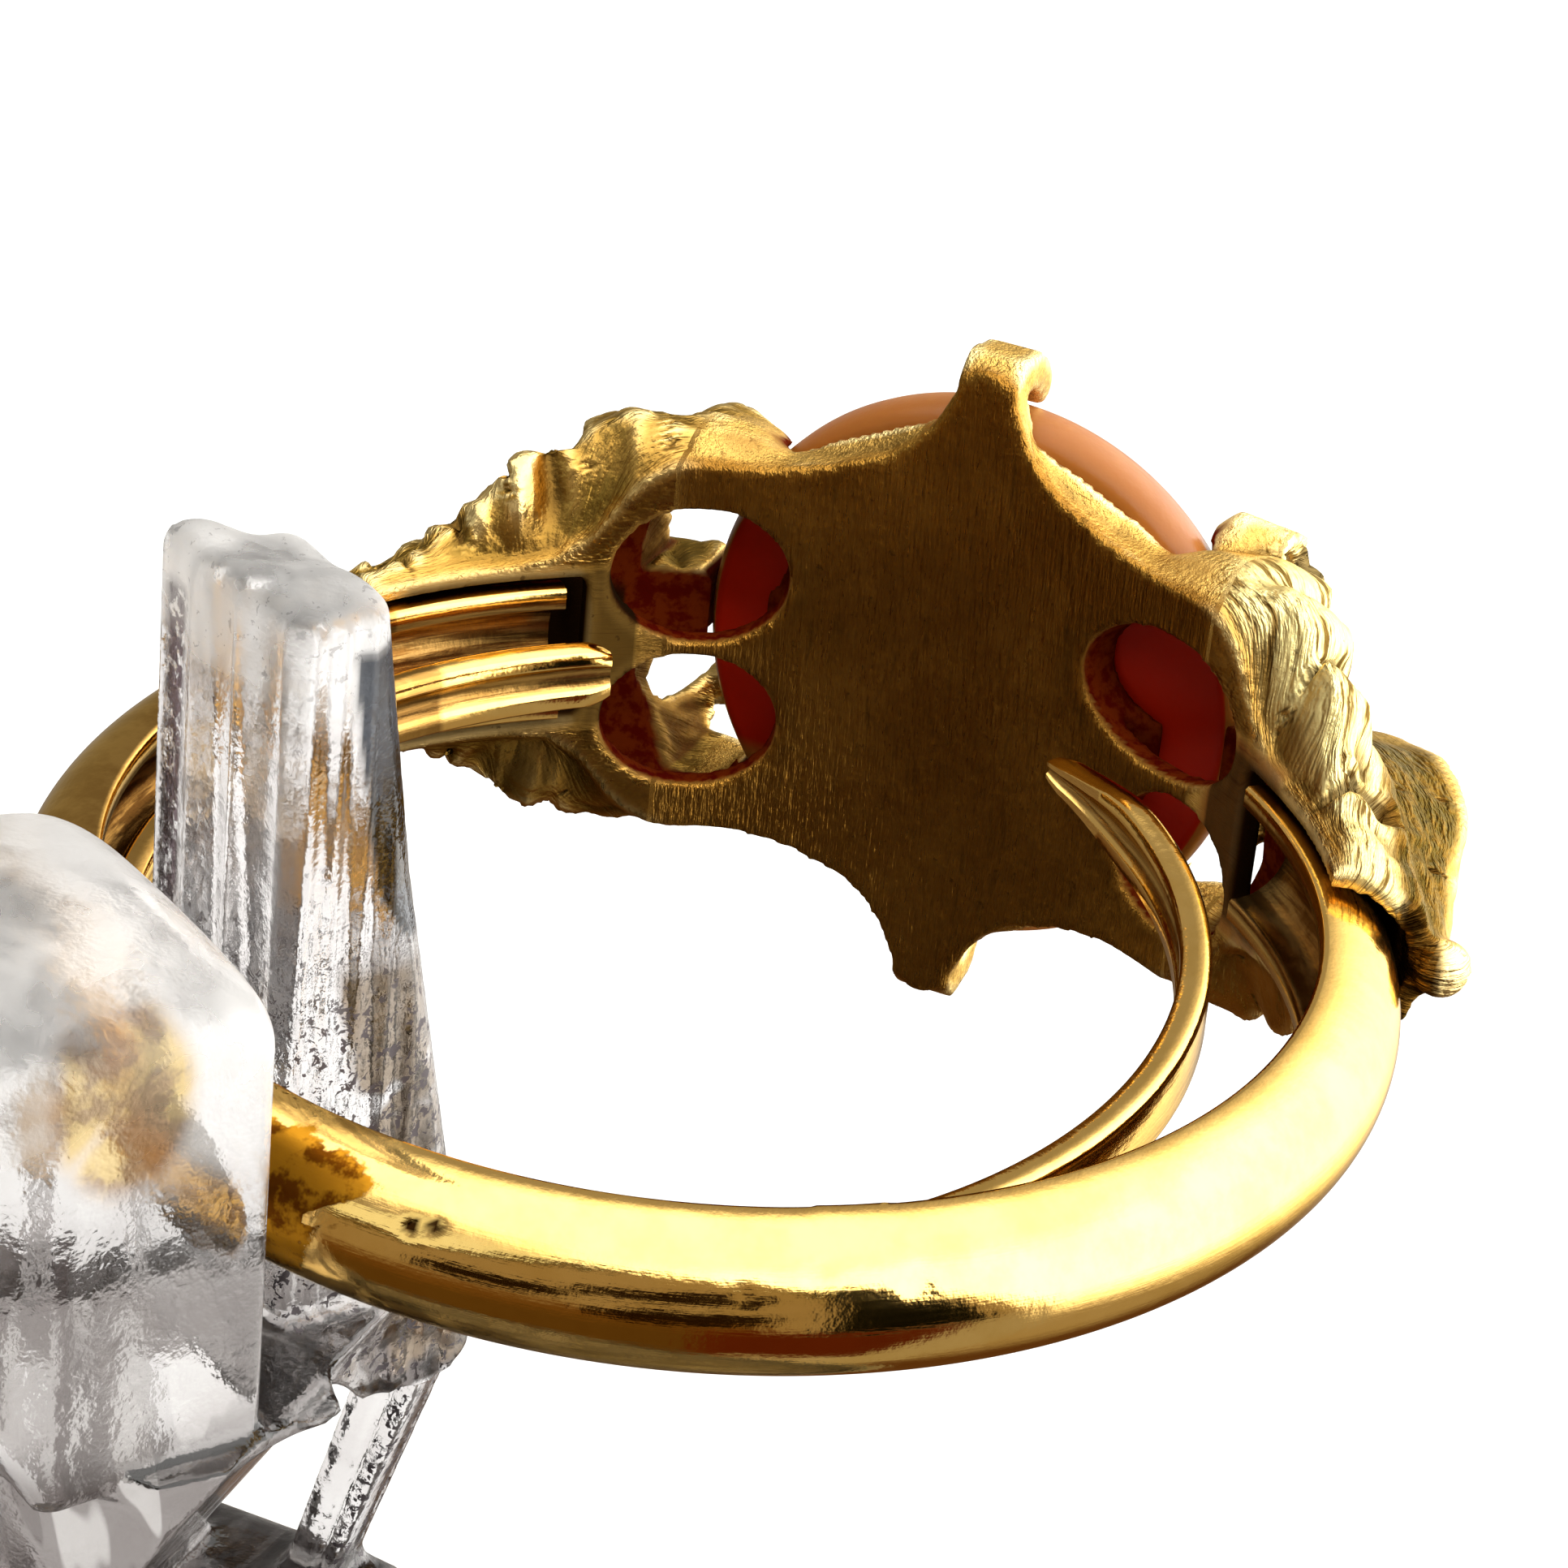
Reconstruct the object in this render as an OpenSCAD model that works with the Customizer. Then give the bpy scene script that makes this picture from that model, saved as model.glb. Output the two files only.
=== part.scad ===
// A ring with a carved rose in a leafy cast setting, held by a clear clip on a round stand.
// The ring's own frame has +X to its right shoulder, +Y out through the rose and +Z along the finger.
// Angles named phi go round the finger from the rose, positive towards the right shoulder.

/* [Shank] */
// Radius of the finger hole at the band's two rims
finger_r = 9.5; // [9.4:0.05:9.6]
// Radius of the half-round that makes the band's outside
band_round = 1.27; // [1.2:0.01:1.3]
// Height of the band from its rims to its crown
band_t = 1.4; // [1.3:0.02:1.46]
// Thickness of the band's hollow wall
band_wall = 0.4; // [0.3:0.05:0.45]
// Angle from the rose at which each end of the band tucks in
band_end_phi = 41; // [40:0.5:44]
// Width of the sizing spring
spring_w = 1.16; // [0.9:0.02:1.2]
// Height of the sizing spring's channel
spring_t = 0.5; // [0.4:0.05:0.6]

/* [Rose] */
// Radius of the carved stone
rose_r = 5; // [4.8:0.05:5.05]
// Height of the plain rim below the carving
rose_rim = 1.2; // [1.1:0.1:1.4]
// Height of the carving above that rim
rose_rise = 2.9; // [2:0.1:3.2]

/* [Setting] */
// Distance of the stone's flat back from the finger's axis
seat_n = 10.35; // [10.3:0.05:10.5]
// Radius of the setting's finger side
back_r = 9.75; // [9.65:0.05:9.8]
// Thickness of the cast walls
cast_wall = 0.5; // [0.45:0.05:0.6]
// Half height of the four oval openings in the back
opening_r = 1.28; // [1.1:0.02:1.34]
// Depth of the notches between the leaves' lobes
notch = 0.5; // [0.2:0.05:0.7]
// Clear gap between neighbouring pieces
gap = 0.06; // [0.04:0.01:0.1]

/* [Stand] */
// Radius of the round base
base_r = 15; // [14:0.5:18]
// Thickness of the round base
base_t = 3; // [2.5:0.25:4]
// Height of the ring's mid-plane above the table
ring_z = 22; // [21:0.5:26]
// Radius of the post
post_r = 4.4; // [4:0.1:5]
// Direction of the clip from the ring's centre, from the rose
clip_phi = -150; // [-155:1:-145]

/* [Hidden] */

$fn = 96;

// The clip's own frame has +X outwards from the finger, +Y to its right and the ring's mid-plane at 0.
post_at = [10.2, 0.9];
clip_turn = 90 - clip_phi;
ring_at = [
    post_at[1] * cos(clip_phi) - post_at[0] * sin(clip_phi),
    -post_at[0] * cos(clip_phi) - post_at[1] * sin(clip_phi),
    ring_z
];

// A point of the ring from its radius, angle and height
function polar(r, phi, z) = [r * sin(phi), r * cos(phi), z];

// Values between 0 and 1 in equal steps
function steps(count) = [for (i = [0 : count]) i / count];

// A value between two others
function mix(a, b, t) = a + (b - a) * t;

// The value of one column of a table at a place along its first column
function column_at(table, place, column) = lookup(place, [for (row = table) [row[0], row[column]]]);

// The points of half an outline, then the same points mirrored, in one closed loop
function with_mirror(half) = concat(
    [for (i = [0 : len(half) - 1]) [half[i][0], -half[i][1]]],
    [for (i = [len(half) - 1 : -1 : 0]) half[i]]
);

// A closed solid from rows of points: each row is a loop of the same length
module loft(rows) {
    n = len(rows[0]);
    m = len(rows);
    sides = [
        for (i = [0 : m - 2], j = [0 : n - 1])
            let (k = (j + 1) % n)
            each [
                [i * n + k, i * n + j, (i + 1) * n + j],
                [(i + 1) * n + k, i * n + k, (i + 1) * n + j]
            ]
    ];
    polyhedron(
        [for (row = rows) each row],
        concat([[for (j = [0 : n - 1]) j]], sides, [[for (j = [n - 1 : -1 : 0]) (m - 1) * n + j]]),
        convexity = 8
    );
}

module in_ring() { translate(ring_at) children(); }

// Everything in the head is drawn with +Z out through the rose, then turned to face +Y
module facing_out() { rotate([-90, 0, 0]) children(); }

// Draws the right half's pieces on both sides of the ring
module both_sides() {
    for (side = [0, 1]) mirror([side, 0, 0]) children();
}

// Sweeps a section of radius and height round the finger
module sweep(from_phi, to_phi) {
    rotate([0, 0, 90 - to_phi]) rotate_extrude(angle = to_phi - from_phi) children();
}

// Shank
band_mid_r = finger_r + band_t - band_round;
spring_seat_r = finger_r + 0.5;

// One row for each tongue: side, centre across, centre out, radius, first and last angle, tilt in degrees.
// A tongue tilts about its root, so that its free end stands a little higher.
tongues = [
    [1, -1.46, -1.14, 9.37, 28, 157, 2.4],
    [-1, -1.28, -0.98, 9.85, 40, 144, 1.15]
];
tongue_root = -8.5;

module band_section(grow = 0) {
    intersection() {
        translate([band_mid_r, 0]) circle(band_round + grow);
        translate([finger_r - grow, -3]) square([4, 6]);
    }
}

module hollow_band_section() {
    difference() {
        band_section();
        translate([band_mid_r, 0]) circle(band_round - band_wall);
    }
}

// The spring's channel, its hollow side to the finger
module spring_section(mid_r) {
    difference() {
        translate([mid_r - spring_t / 2, -spring_w / 2]) square([spring_t, spring_w]);
        translate([mid_r - spring_t * 1.1, 0]) circle(spring_w * 0.36);
    }
}

module tongue(row) {
    mirror([row[0] < 0 ? 1 : 0, 0, 0])
        translate([0, tongue_root, 0]) rotate([row[6], 0, 0]) translate([row[1], row[2] - tongue_root, 0])
            sweep(row[4], row[5]) spring_section(row[3]);
}

module shank() {
    color("goldenrod") in_ring() {
        sweep(band_end_phi, 360 - band_end_phi) hollow_band_section();
        sweep(150, 212)
            translate([spring_seat_r - spring_t / 2, -spring_w / 2 - 0.05])
                square([spring_t + 0.35, spring_w + 0.1]);
        for (row = tongues) tongue(row);
    }
}

// Carved rose
// One row for each ring of the carving, from the centre out: radius, height, petals, scallop, turn.
// Heights are shares of the carving's rise, and a scallop is a share of the radius.
rose_rows = [
    [0.3, 0.88, 3, 0.1, 0],
    [0.62, 1, 3, 0.1, 20],
    [0.86, 0.78, 3, 0.1, 35],
    [1.3, 0.93, 4, 0.09, 50],
    [1.56, 0.95, 4, 0.09, 62],
    [1.76, 0.66, 4, 0.09, 68],
    [2.3, 0.78, 5, 0.07, 84],
    [2.62, 0.8, 5, 0.07, 92],
    [2.82, 0.48, 5, 0.07, 96],
    [3.3, 0.56, 5, 0.05, 128],
    [3.62, 0.57, 5, 0.05, 134],
    [3.84, 0.26, 5, 0.05, 138],
    [4.24, 0.22, 6, 0.02, 160],
    [4.5, 0.11, 6, 0.01, 160]
];
rose_sectors = 72;

// A petal's edge stands out in the middle of the petal and draws in where two petals meet
function scallop(row, angle) = 1 + row[3] * (abs(cos(row[2] * (angle - row[4]) / 2)) - 0.6);

function rose_ring(row) = [
    for (i = [0 : rose_sectors - 1])
        let (a = 360 * i / rose_sectors, r = row[0] * scallop(row, a))
        [r * cos(a), r * sin(a), seat_n + rose_rim + rose_rise * row[1]]
];

function plain_ring(r, z) = [
    for (i = [0 : rose_sectors - 1])
        let (a = 360 * i / rose_sectors)
        [r * cos(a), r * sin(a), z]
];

module carved_rose() {
    carving = [for (i = [len(rose_rows) - 1 : -1 : 0]) rose_ring(rose_rows[i])];
    rim = [
        plain_ring(rose_r - 0.35, seat_n),
        plain_ring(rose_r - 0.08, seat_n + 0.18),
        plain_ring(rose_r, seat_n + 0.55),
        plain_ring(rose_r - 0.06, seat_n + rose_rim - 0.2),
        plain_ring(rose_r - 0.24, seat_n + rose_rim)
    ];
    color("lightsalmon") in_ring() facing_out() loft(concat(rim, carving));
}

// Setting
// One row for each step of a shoulder away from the rose: angle, half width at the finger, radius and
// half width of its widest place, radius and height of the leaves' rim, radius of the valley inside
// the rim, radius of the central leaf's keel
shoulder_rows = [
    [17, 3.3, 10.4, 3.5, 11.2, 3.2, 10.9, 11],
    [20, 3.4, 10.8, 3.7, 13, 2.9, 11.4, 11.8],
    [22, 3.45, 11, 3.8, 14.2, 2.5, 11.8, 12.6],
    [26, 3.5, 10.9, 4, 13.3, 2.9, 11.9, 13.5],
    [30, 3.5, 10.8, 4.15, 12.6, 3.1, 11.9, 14.3],
    [34, 3.1, 10.8, 4.1, 12.1, 3.2, 11.8, 14.6],
    [38, 2.15, 10.7, 3.9, 11.7, 3.1, 11.6, 14.3],
    [42, 1.7, 10.6, 3.6, 11.4, 2.9, 11.5, 13.8],
    [46, 1.62, 10.5, 3.2, 11.2, 2.65, 11.5, 13.2],
    [50, 1.6, 10.4, 2.5, 11, 2.2, 11.4, 12.7],
    [54, 1.6, 10.3, 2.1, 10.85, 1.9, 11.35, 12.3],
    [58, 1.6, 10.2, 1.9, 10.75, 1.7, 11.35, 12],
    [62, 1.6, 10.15, 1.75, 10.65, 1.55, 11.3, 11.85]
];
shoulder_from = shoulder_rows[0][0];
shoulder_to = shoulder_rows[len(shoulder_rows) - 1][0];
shoulder_steps = 36;
hollow_to = 47;
band_headroom = 0.22;
// One row for each opening: side, end, angle from the rose and half width round the finger
opening_rows = [
    [1, 1, 25, 1.85],
    [1, -1, 29, 1.45],
    [-1, 1, 27, 1.56],
    [-1, -1, 27, 1.56]
];

// Angles at which a notch parts two lobes of the leaves' rim
notch_phi = [17, 30, 39.5, 47.5, 55, 62];

// A lobe stands full between two notches and is nothing in a notch
function lobe(phi) =
    let (
        i = max([for (k = [0 : len(notch_phi) - 2]) phi >= notch_phi[k] ? k : 0]),
        f = (phi - notch_phi[i]) / (notch_phi[i + 1] - notch_phi[i])
    )
    pow(max(0, sin(180 * pow(min(1, f), 1.3))), 0.5);

// Right half of a shoulder's outer section, as radius and height, from the finger side to the keel
function outer_half(phi) =
    let (
        at = [for (c = [0 : 7]) column_at(shoulder_rows, phi, c)],
        fade = min(1, (66 - phi) / 18),
        cut = notch * fade * (1 - lobe(phi)),
        rim = [at[4] - 1.2 * cut, at[5] - 0.5 * cut],
        wide = [at[2], at[3] - 0.7 * cut],
        foot = [at[6], min(1.9, rim[1] - 0.5)]
    )
    [
        [back_r - 0.3, at[1]],
        [back_r + 0.15, at[1] + 0.08],
        mix([back_r + 0.15, at[1] + 0.08], wide, 0.55) + [0, 0.12 * fade],
        wide,
        mix(wide, rim, 0.5) + [0, 0.1 * fade],
        rim,
        rim + [0.02, -0.3 * fade],
        mix(rim, foot, 0.6) + [-0.1 * fade, -0.1 * fade],
        foot,
        mix(foot, [at[7], 0], 0.35) + [-0.12, -0.4] * fade,
        [mix(at[6], at[7], 0.75), 0.4],
        [at[7], 0.2]
    ];

// The hollow inside a shoulder follows its outside, one wall further in
function inner_half(phi) =
    let (at = [for (c = [0 : 7]) column_at(shoulder_rows, phi, c)])
    [
        [back_r + cast_wall, max(1.15, at[1] - cast_wall)],
        [at[2] + 0.05, max(1.2, at[3] - 0.4 - cast_wall)],
        [max(at[2] + 0.25, min(at[4], at[6] + 0.3) - 0.25 - cast_wall), max(1, at[5] - 0.5 - cast_wall)],
        [at[6] - 0.1 - cast_wall, 0.6]
    ];

function section_at(half, phi) = [for (p = with_mirror(half)) polar(p[0], phi, p[1])];

module shoulder() {
    loft([
        for (s = steps(shoulder_steps))
            let (phi = mix(shoulder_from, shoulder_to, s))
            section_at(outer_half(phi), phi)
    ]);
    translate(polar(11.7, shoulder_to, 0)) sphere(0.5, $fn = 14);
}

module shoulder_hollow() {
    loft([
        for (s = steps(14))
            let (phi = mix(shoulder_from + 0.7, hollow_to, s))
            section_at(inner_half(phi), phi)
    ]);
    sweep(band_end_phi - 2.6, shoulder_to + 8) {
        band_section(gap);
        translate([band_headroom, 0]) band_section(gap);
    }
}

// The cup's outline from behind, one quarter: across, along the finger
cup_quarter = [
    [4.6, 0.7], [4.6, 3.5], [3.4, 3.58], [2.6, 3.75], [1.6, 4.15], [1.1, 4.55],
    [0.84, 4.95], [0.6, 5.45], [0.38, 5.85], [0.14, 6.05]
];

// A whole outline from one quarter, anticlockwise
function all_quarters(q) = let (n = len(q) - 1) concat(
    [for (i = [0 : n]) q[i]],
    [for (i = [n : -1 : 0]) [-q[i][0], q[i][1]]],
    [for (i = [0 : n]) -q[i]],
    [for (i = [n : -1 : 0]) [q[i][0], -q[i][1]]]
);

// The cup widens to just inside the stone's edge, and stands wider at the prongs' roots
lip_inside = 0.14;
root_wide = 0.3;
root_half = 0.7;

// The cup's outline at a height: 0 keeps the plate's outline and 1 is the lip's
function cup_ring(n, round) = [
    for (p = all_quarters(cup_quarter))
        let (
            r = norm(p),
            to_r = abs(p[0]) < root_half ? max(r, rose_r + root_wide) : rose_r - lip_inside,
            grow = mix(1, to_r / r, round)
        )
        [p[0] * grow, p[1] * grow, n]
];

module cup_body() {
    loft([cup_ring(8.2, 0), cup_ring(back_r + 0.15, 0), cup_ring(seat_n - 0.1, 0.85), cup_ring(seat_n, 1)]);
}

// Room for the stone, and the gaps between its rim and the leaves beside it
module stone_room() {
    translate([0, 0, seat_n - gap]) cylinder(h = 8, r = rose_r + gap);
    for (side = [-1, 1], z = [-1, 1])
        intersection() {
            translate([0, 0, seat_n - 0.75]) cylinder(h = 2.6, r = rose_r + 1.15, $fn = 48);
            translate([side * (rose_r + 0.5), z * 1.9, seat_n]) cube([2.6, 2.5, 6], center = true);
        }
}

// One row for each step of a prong from its root: height along the finger, distance out, half width
prong_rows = [
    [5.45, 9.9, 0.5],
    [5.9, 10.3, 0.55],
    [5.8, 10.9, 0.5],
    [5.47, 11.45, 0.4],
    [5.08, 11.95, 0.28]
];
prong_thick = 0.34;

module prong_knot(row) {
    translate([0, row[0], row[1]]) rotate([0, 90, 0])
        cylinder(h = 2 * row[2], r = prong_thick, center = true, $fn = 10);
}

module prong() {
    for (i = [0 : len(prong_rows) - 2])
        hull() {
            prong_knot(prong_rows[i]);
            prong_knot(prong_rows[i + 1]);
        }
}

// A leaf's tip curls up beside the stone on the right: its root, its point and its outer corner, each
// as radius, angle, height and roundness
tip_places = [[12.3, 19.5, 2.9, 0.7], [12.45, 19.5, 3.7, 0.16], [13.3, 22, 3, 0.4]];

module leaf_tip() {
    hull() for (at = tip_places) translate(polar(at[0], at[1], at[2])) sphere(at[3], $fn = 16);
}

module openings() {
    web = 0.26;
    for (row = opening_rows)
        rotate([0, 0, -row[0] * row[2]]) translate([0, 9, row[1] * (opening_r + web / 2)]) facing_out()
            scale([row[3], opening_r, 1]) cylinder(h = 1.9, r = 1, $fn = 32);
}

module setting() {
    color("darkgoldenrod") in_ring() {
        difference() {
            union() {
                facing_out() cup_body();
                both_sides() shoulder();
                leaf_tip();
            }
            facing_out() stone_room();
            cylinder(h = 20, r = back_r, center = true);
            both_sides() shoulder_hollow();
            openings();
        }
        difference() {
            facing_out() for (turn = [0, 180]) rotate([0, 0, turn]) prong();
            cylinder(h = 20, r = back_r, center = true);
        }
    }
}

// Clip stand
clip_top = 8.6;
slot_floor = -3.2;
jaw_in = 9.6;
jaw_out = 10.5;

// The clip seen from its side: distance out from the finger's axis, height
inner_jaw = [
    [jaw_in, clip_top - 0.6], [jaw_in - 0.6, clip_top], [7.85, clip_top], [7.55, clip_top - 0.4],
    [6.95, 4], [5.4, -4.5], [6.3, -5], [7.5, -4.9], [9, slot_floor], [jaw_in, -1]
];
outer_jaw = [
    [jaw_out, 4.1], [jaw_out + 0.6, 4.9], [15, 4.9], [15, 0], [14.4, -1.8], [13.8, slot_floor - 0.2],
    [9, slot_floor - 0.2], [9, slot_floor], [jaw_out, slot_floor]
];

// The jaws' two sides across the clip; the outer one is rounded to a column under a dome
inner_sides = [-1.3, 2.45];
outer_sides = [-2.2, 4.5];
column_at = [11.6, 1.3];
column_r = 4.1;
dome_at = [12.2, 1.2, -3.3];
dome_r = 8.1;

// A plate under the clip, seen from above in the ring's frame: far edge, right edge and size
plate_far = -4.9;
plate_right = -1.9;
plate_size = [13, 9];
plate_top = -9.6;
plate_t = 1.6;

// A thin leg from the clip's inner side down to the plate: its two edges across the ring at its top
// and at its foot, the place of its far face, its thickness, its height and how deep its ends reach in
leg_top = [-2.2, -1.1];
leg_foot = [-3.55, -2.7];
leg_n = -5.6;
leg_t = 1;
leg_high = -4.5;
leg_end = 0.4;

module side_view(outline, from_y, to_y) {
    translate([0, to_y, 0]) rotate([90, 0, 0]) linear_extrude(to_y - from_y) polygon(outline);
}

// A wedge under the clip narrows towards the plate, and its right side slants in under it: the angle
// of that side, and a place on it across the ring and along the finger
wedge_top = -3.1;
wedge_foot = plate_top - 0.5;
wedge_taper = 1.5;
wedge_slant = 31;
wedge_side = [-2.38, -4.87];

module wedge() {
    difference() {
        rotate([0, 0, clip_turn]) translate([post_at[0], post_at[1], wedge_foot])
            cylinder(h = wedge_top - wedge_foot, r1 = post_r - wedge_taper, r2 = post_r);
        translate([wedge_side[0], -20, wedge_side[1]]) rotate([0, wedge_slant, 0]) translate([0, 0, -15])
            cube([20, 40, 30]);
    }
}

module post() {
    translate([post_at[0], post_at[1], base_t - 0.5 - ring_z])
        cylinder(h = ring_z - base_t + plate_top, r = post_r - wedge_taper);
}

module leg() {
    hull() {
        translate([leg_top[0], leg_n - leg_t, leg_high - leg_end])
            cube([leg_top[1] - leg_top[0], leg_t, leg_end]);
        translate([leg_foot[0], leg_n - leg_t, plate_top - leg_end])
            cube([leg_foot[1] - leg_foot[0], leg_t, leg_end]);
    }
}

// The plate's far edge is rounded over
module plate() {
    round = plate_t / 2;
    translate([plate_right - plate_size[0], plate_far - plate_size[1], plate_top - plate_t]) {
        cube([plate_size[0], plate_size[1] - round, plate_t]);
        translate([0, plate_size[1] - round, round]) rotate([0, 90, 0])
            cylinder(h = plate_size[0], r = round);
    }
}

module base() {
    rim = base_t / 2;
    translate([post_at[0], post_at[1], -ring_z]) {
        cylinder(h = base_t, r = base_r - rim);
        rotate_extrude() translate([base_r - rim, rim]) circle(rim);
        translate([0, 0, base_t]) rotate_extrude() difference() {
            square([post_r + 1.5, 1.5]);
            translate([post_r + 1.5, 1.5]) circle(1.5);
        }
    }
}

module clip() {
    difference() {
        union() {
            intersection() {
                side_view(inner_jaw, inner_sides[0], inner_sides[1]);
                translate([0, 0, -12]) cylinder(h = 24, r = finger_r - gap);
            }
            intersection() {
                side_view(outer_jaw, outer_sides[0], outer_sides[1]);
                translate([column_at[0], column_at[1], -12]) cylinder(h = 24, r = column_r);
                translate(dome_at) sphere(dome_r);
            }
        }
        rotate_extrude() band_section(gap);
    }
}

module clip_stand() {
    color("gainsboro", 0.6) in_ring() {
        wedge();
        leg();
        plate();
        rotate([0, 0, clip_turn]) {
            clip();
            post();
            base();
        }
    }
}

setting();
shank();
carved_rose();
clip_stand();
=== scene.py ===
"""The looks of a carved rose ring on a clear clip stand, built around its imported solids.

Shapes are worked out in millimetres in the ring's own frame: +X to its right shoulder, +Y out
through the rose, +Z along the finger, from the ring's centre. Angles phi are in degrees round the
finger from the rose. place() turns such points into metres in the row frame.
"""
import math

import bpy
import numpy as np
from mathutils import Matrix, Vector


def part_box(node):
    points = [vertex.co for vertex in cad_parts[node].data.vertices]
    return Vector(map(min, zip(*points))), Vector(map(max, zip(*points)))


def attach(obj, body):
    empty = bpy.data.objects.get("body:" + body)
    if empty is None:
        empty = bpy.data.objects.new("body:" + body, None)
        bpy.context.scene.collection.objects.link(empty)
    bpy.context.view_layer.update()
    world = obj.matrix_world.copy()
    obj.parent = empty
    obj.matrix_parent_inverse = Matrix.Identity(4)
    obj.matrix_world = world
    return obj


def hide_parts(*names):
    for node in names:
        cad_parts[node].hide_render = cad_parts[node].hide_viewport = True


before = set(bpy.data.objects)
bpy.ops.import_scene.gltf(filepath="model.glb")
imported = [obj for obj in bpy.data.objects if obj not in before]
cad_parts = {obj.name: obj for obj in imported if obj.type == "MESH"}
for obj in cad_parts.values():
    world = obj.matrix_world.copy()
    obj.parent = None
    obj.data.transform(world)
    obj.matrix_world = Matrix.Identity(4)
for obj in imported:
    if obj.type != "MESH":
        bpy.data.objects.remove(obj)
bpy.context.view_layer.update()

MM = 0.001

# Sizes of the solids, in millimetres
SEAT_N = 10.35
BACK_R, CAST_WALL = 9.75, 0.5
ROSE_R, ROSE_RIM, ROSE_RISE = 5.0, 1.2, 2.9
BAND_MID_R, BAND_ROUND, BAND_HOLLOW, FINGER_R = 9.63, 1.27, 0.87, 9.5
BAND_END_PHI = 41
SPRING_W, SPRING_T = 1.16, 0.5
CLIP_TURN = 240

rose_lo, rose_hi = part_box("carved_rose")
RING_AT = Vector(((rose_lo.x + rose_hi.x) / 2, rose_lo.y - SEAT_N * MM,
                  (rose_lo.z + rose_hi.z) / 2))


# Small helpers for numbers and shapes

def place(points):
    """Points of the ring's frame in millimetres, as metres in the row frame."""
    return np.asarray(points, float) * MM + np.array(RING_AT)


def polar(r, phi, z):
    """Points of the ring's frame from radius, angle phi and height."""
    a = np.radians(phi)
    return np.stack(np.broadcast_arrays(r * np.sin(a), r * np.cos(a), z), -1)


def ramp(low, high, value):
    """0 up to one value and 1 from another on, smooth between; downwards if low is the greater."""
    t = np.clip((np.asarray(value, float) - low) / (high - low), 0, 1)
    return t * t * (3 - 2 * t)


def bump_at(value, middle, width):
    """A soft bump of height 1 round a middle value."""
    return np.exp(-((np.asarray(value, float) - middle) / width) ** 2)


def wave_noise(points, seed, octaves):
    """Smooth noise between about -1 and 1 at many points: sums of sines with seeded directions."""
    rng = np.random.default_rng(seed)
    total = np.zeros(len(points))
    for octave in range(octaves):
        for _ in range(7):
            direction = rng.normal(size=3)
            direction *= 2 ** octave * (0.7 + 0.6 * rng.random()) * 2.2 / np.linalg.norm(direction)
            total += np.sin(points @ direction + rng.random() * 7) * 0.5 ** octave / 3.2
    return total


def linked(name, data):
    """A new object in the scene."""
    thing = bpy.data.objects.new(name, data)
    bpy.context.scene.collection.objects.link(thing)
    return thing


def mesh_object(name, points_mm, faces):
    """A new smooth-shaded piece from points of the ring's frame."""
    mesh = bpy.data.meshes.new(name)
    mesh.from_pydata([tuple(p) for p in place(points_mm)], [], faces)
    mesh.validate()
    mesh.update()
    mesh.shade_smooth()
    return linked(name, mesh)


def loft(rows, first=0):
    """Faces and points of a closed solid from rows of points; each row is a closed loop."""
    rows = np.asarray(rows, float)
    m, n = rows.shape[:2]
    i, j = np.meshgrid(np.arange(m - 1), np.arange(n), indexing="ij")
    k = (j + 1) % n
    quads = np.stack([i * n + k, i * n + j, (i + 1) * n + j, (i + 1) * n + k], -1) + first
    faces = quads.reshape(-1, 4).tolist()
    faces.append(list(range(first, first + n)))
    faces.append(list(range(first + m * n - 1, first + (m - 1) * n - 1, -1)))
    return rows.reshape(-1, 3), faces


def joined(parts):
    """Several lofted solids as one list of points and one of faces."""
    points, faces = [], []
    for rows in parts:
        p, f = loft(rows, sum(len(q) for q in points))
        points.append(p)
        faces += f
    return np.concatenate(points), faces


# Nodes for materials and the world

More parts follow.
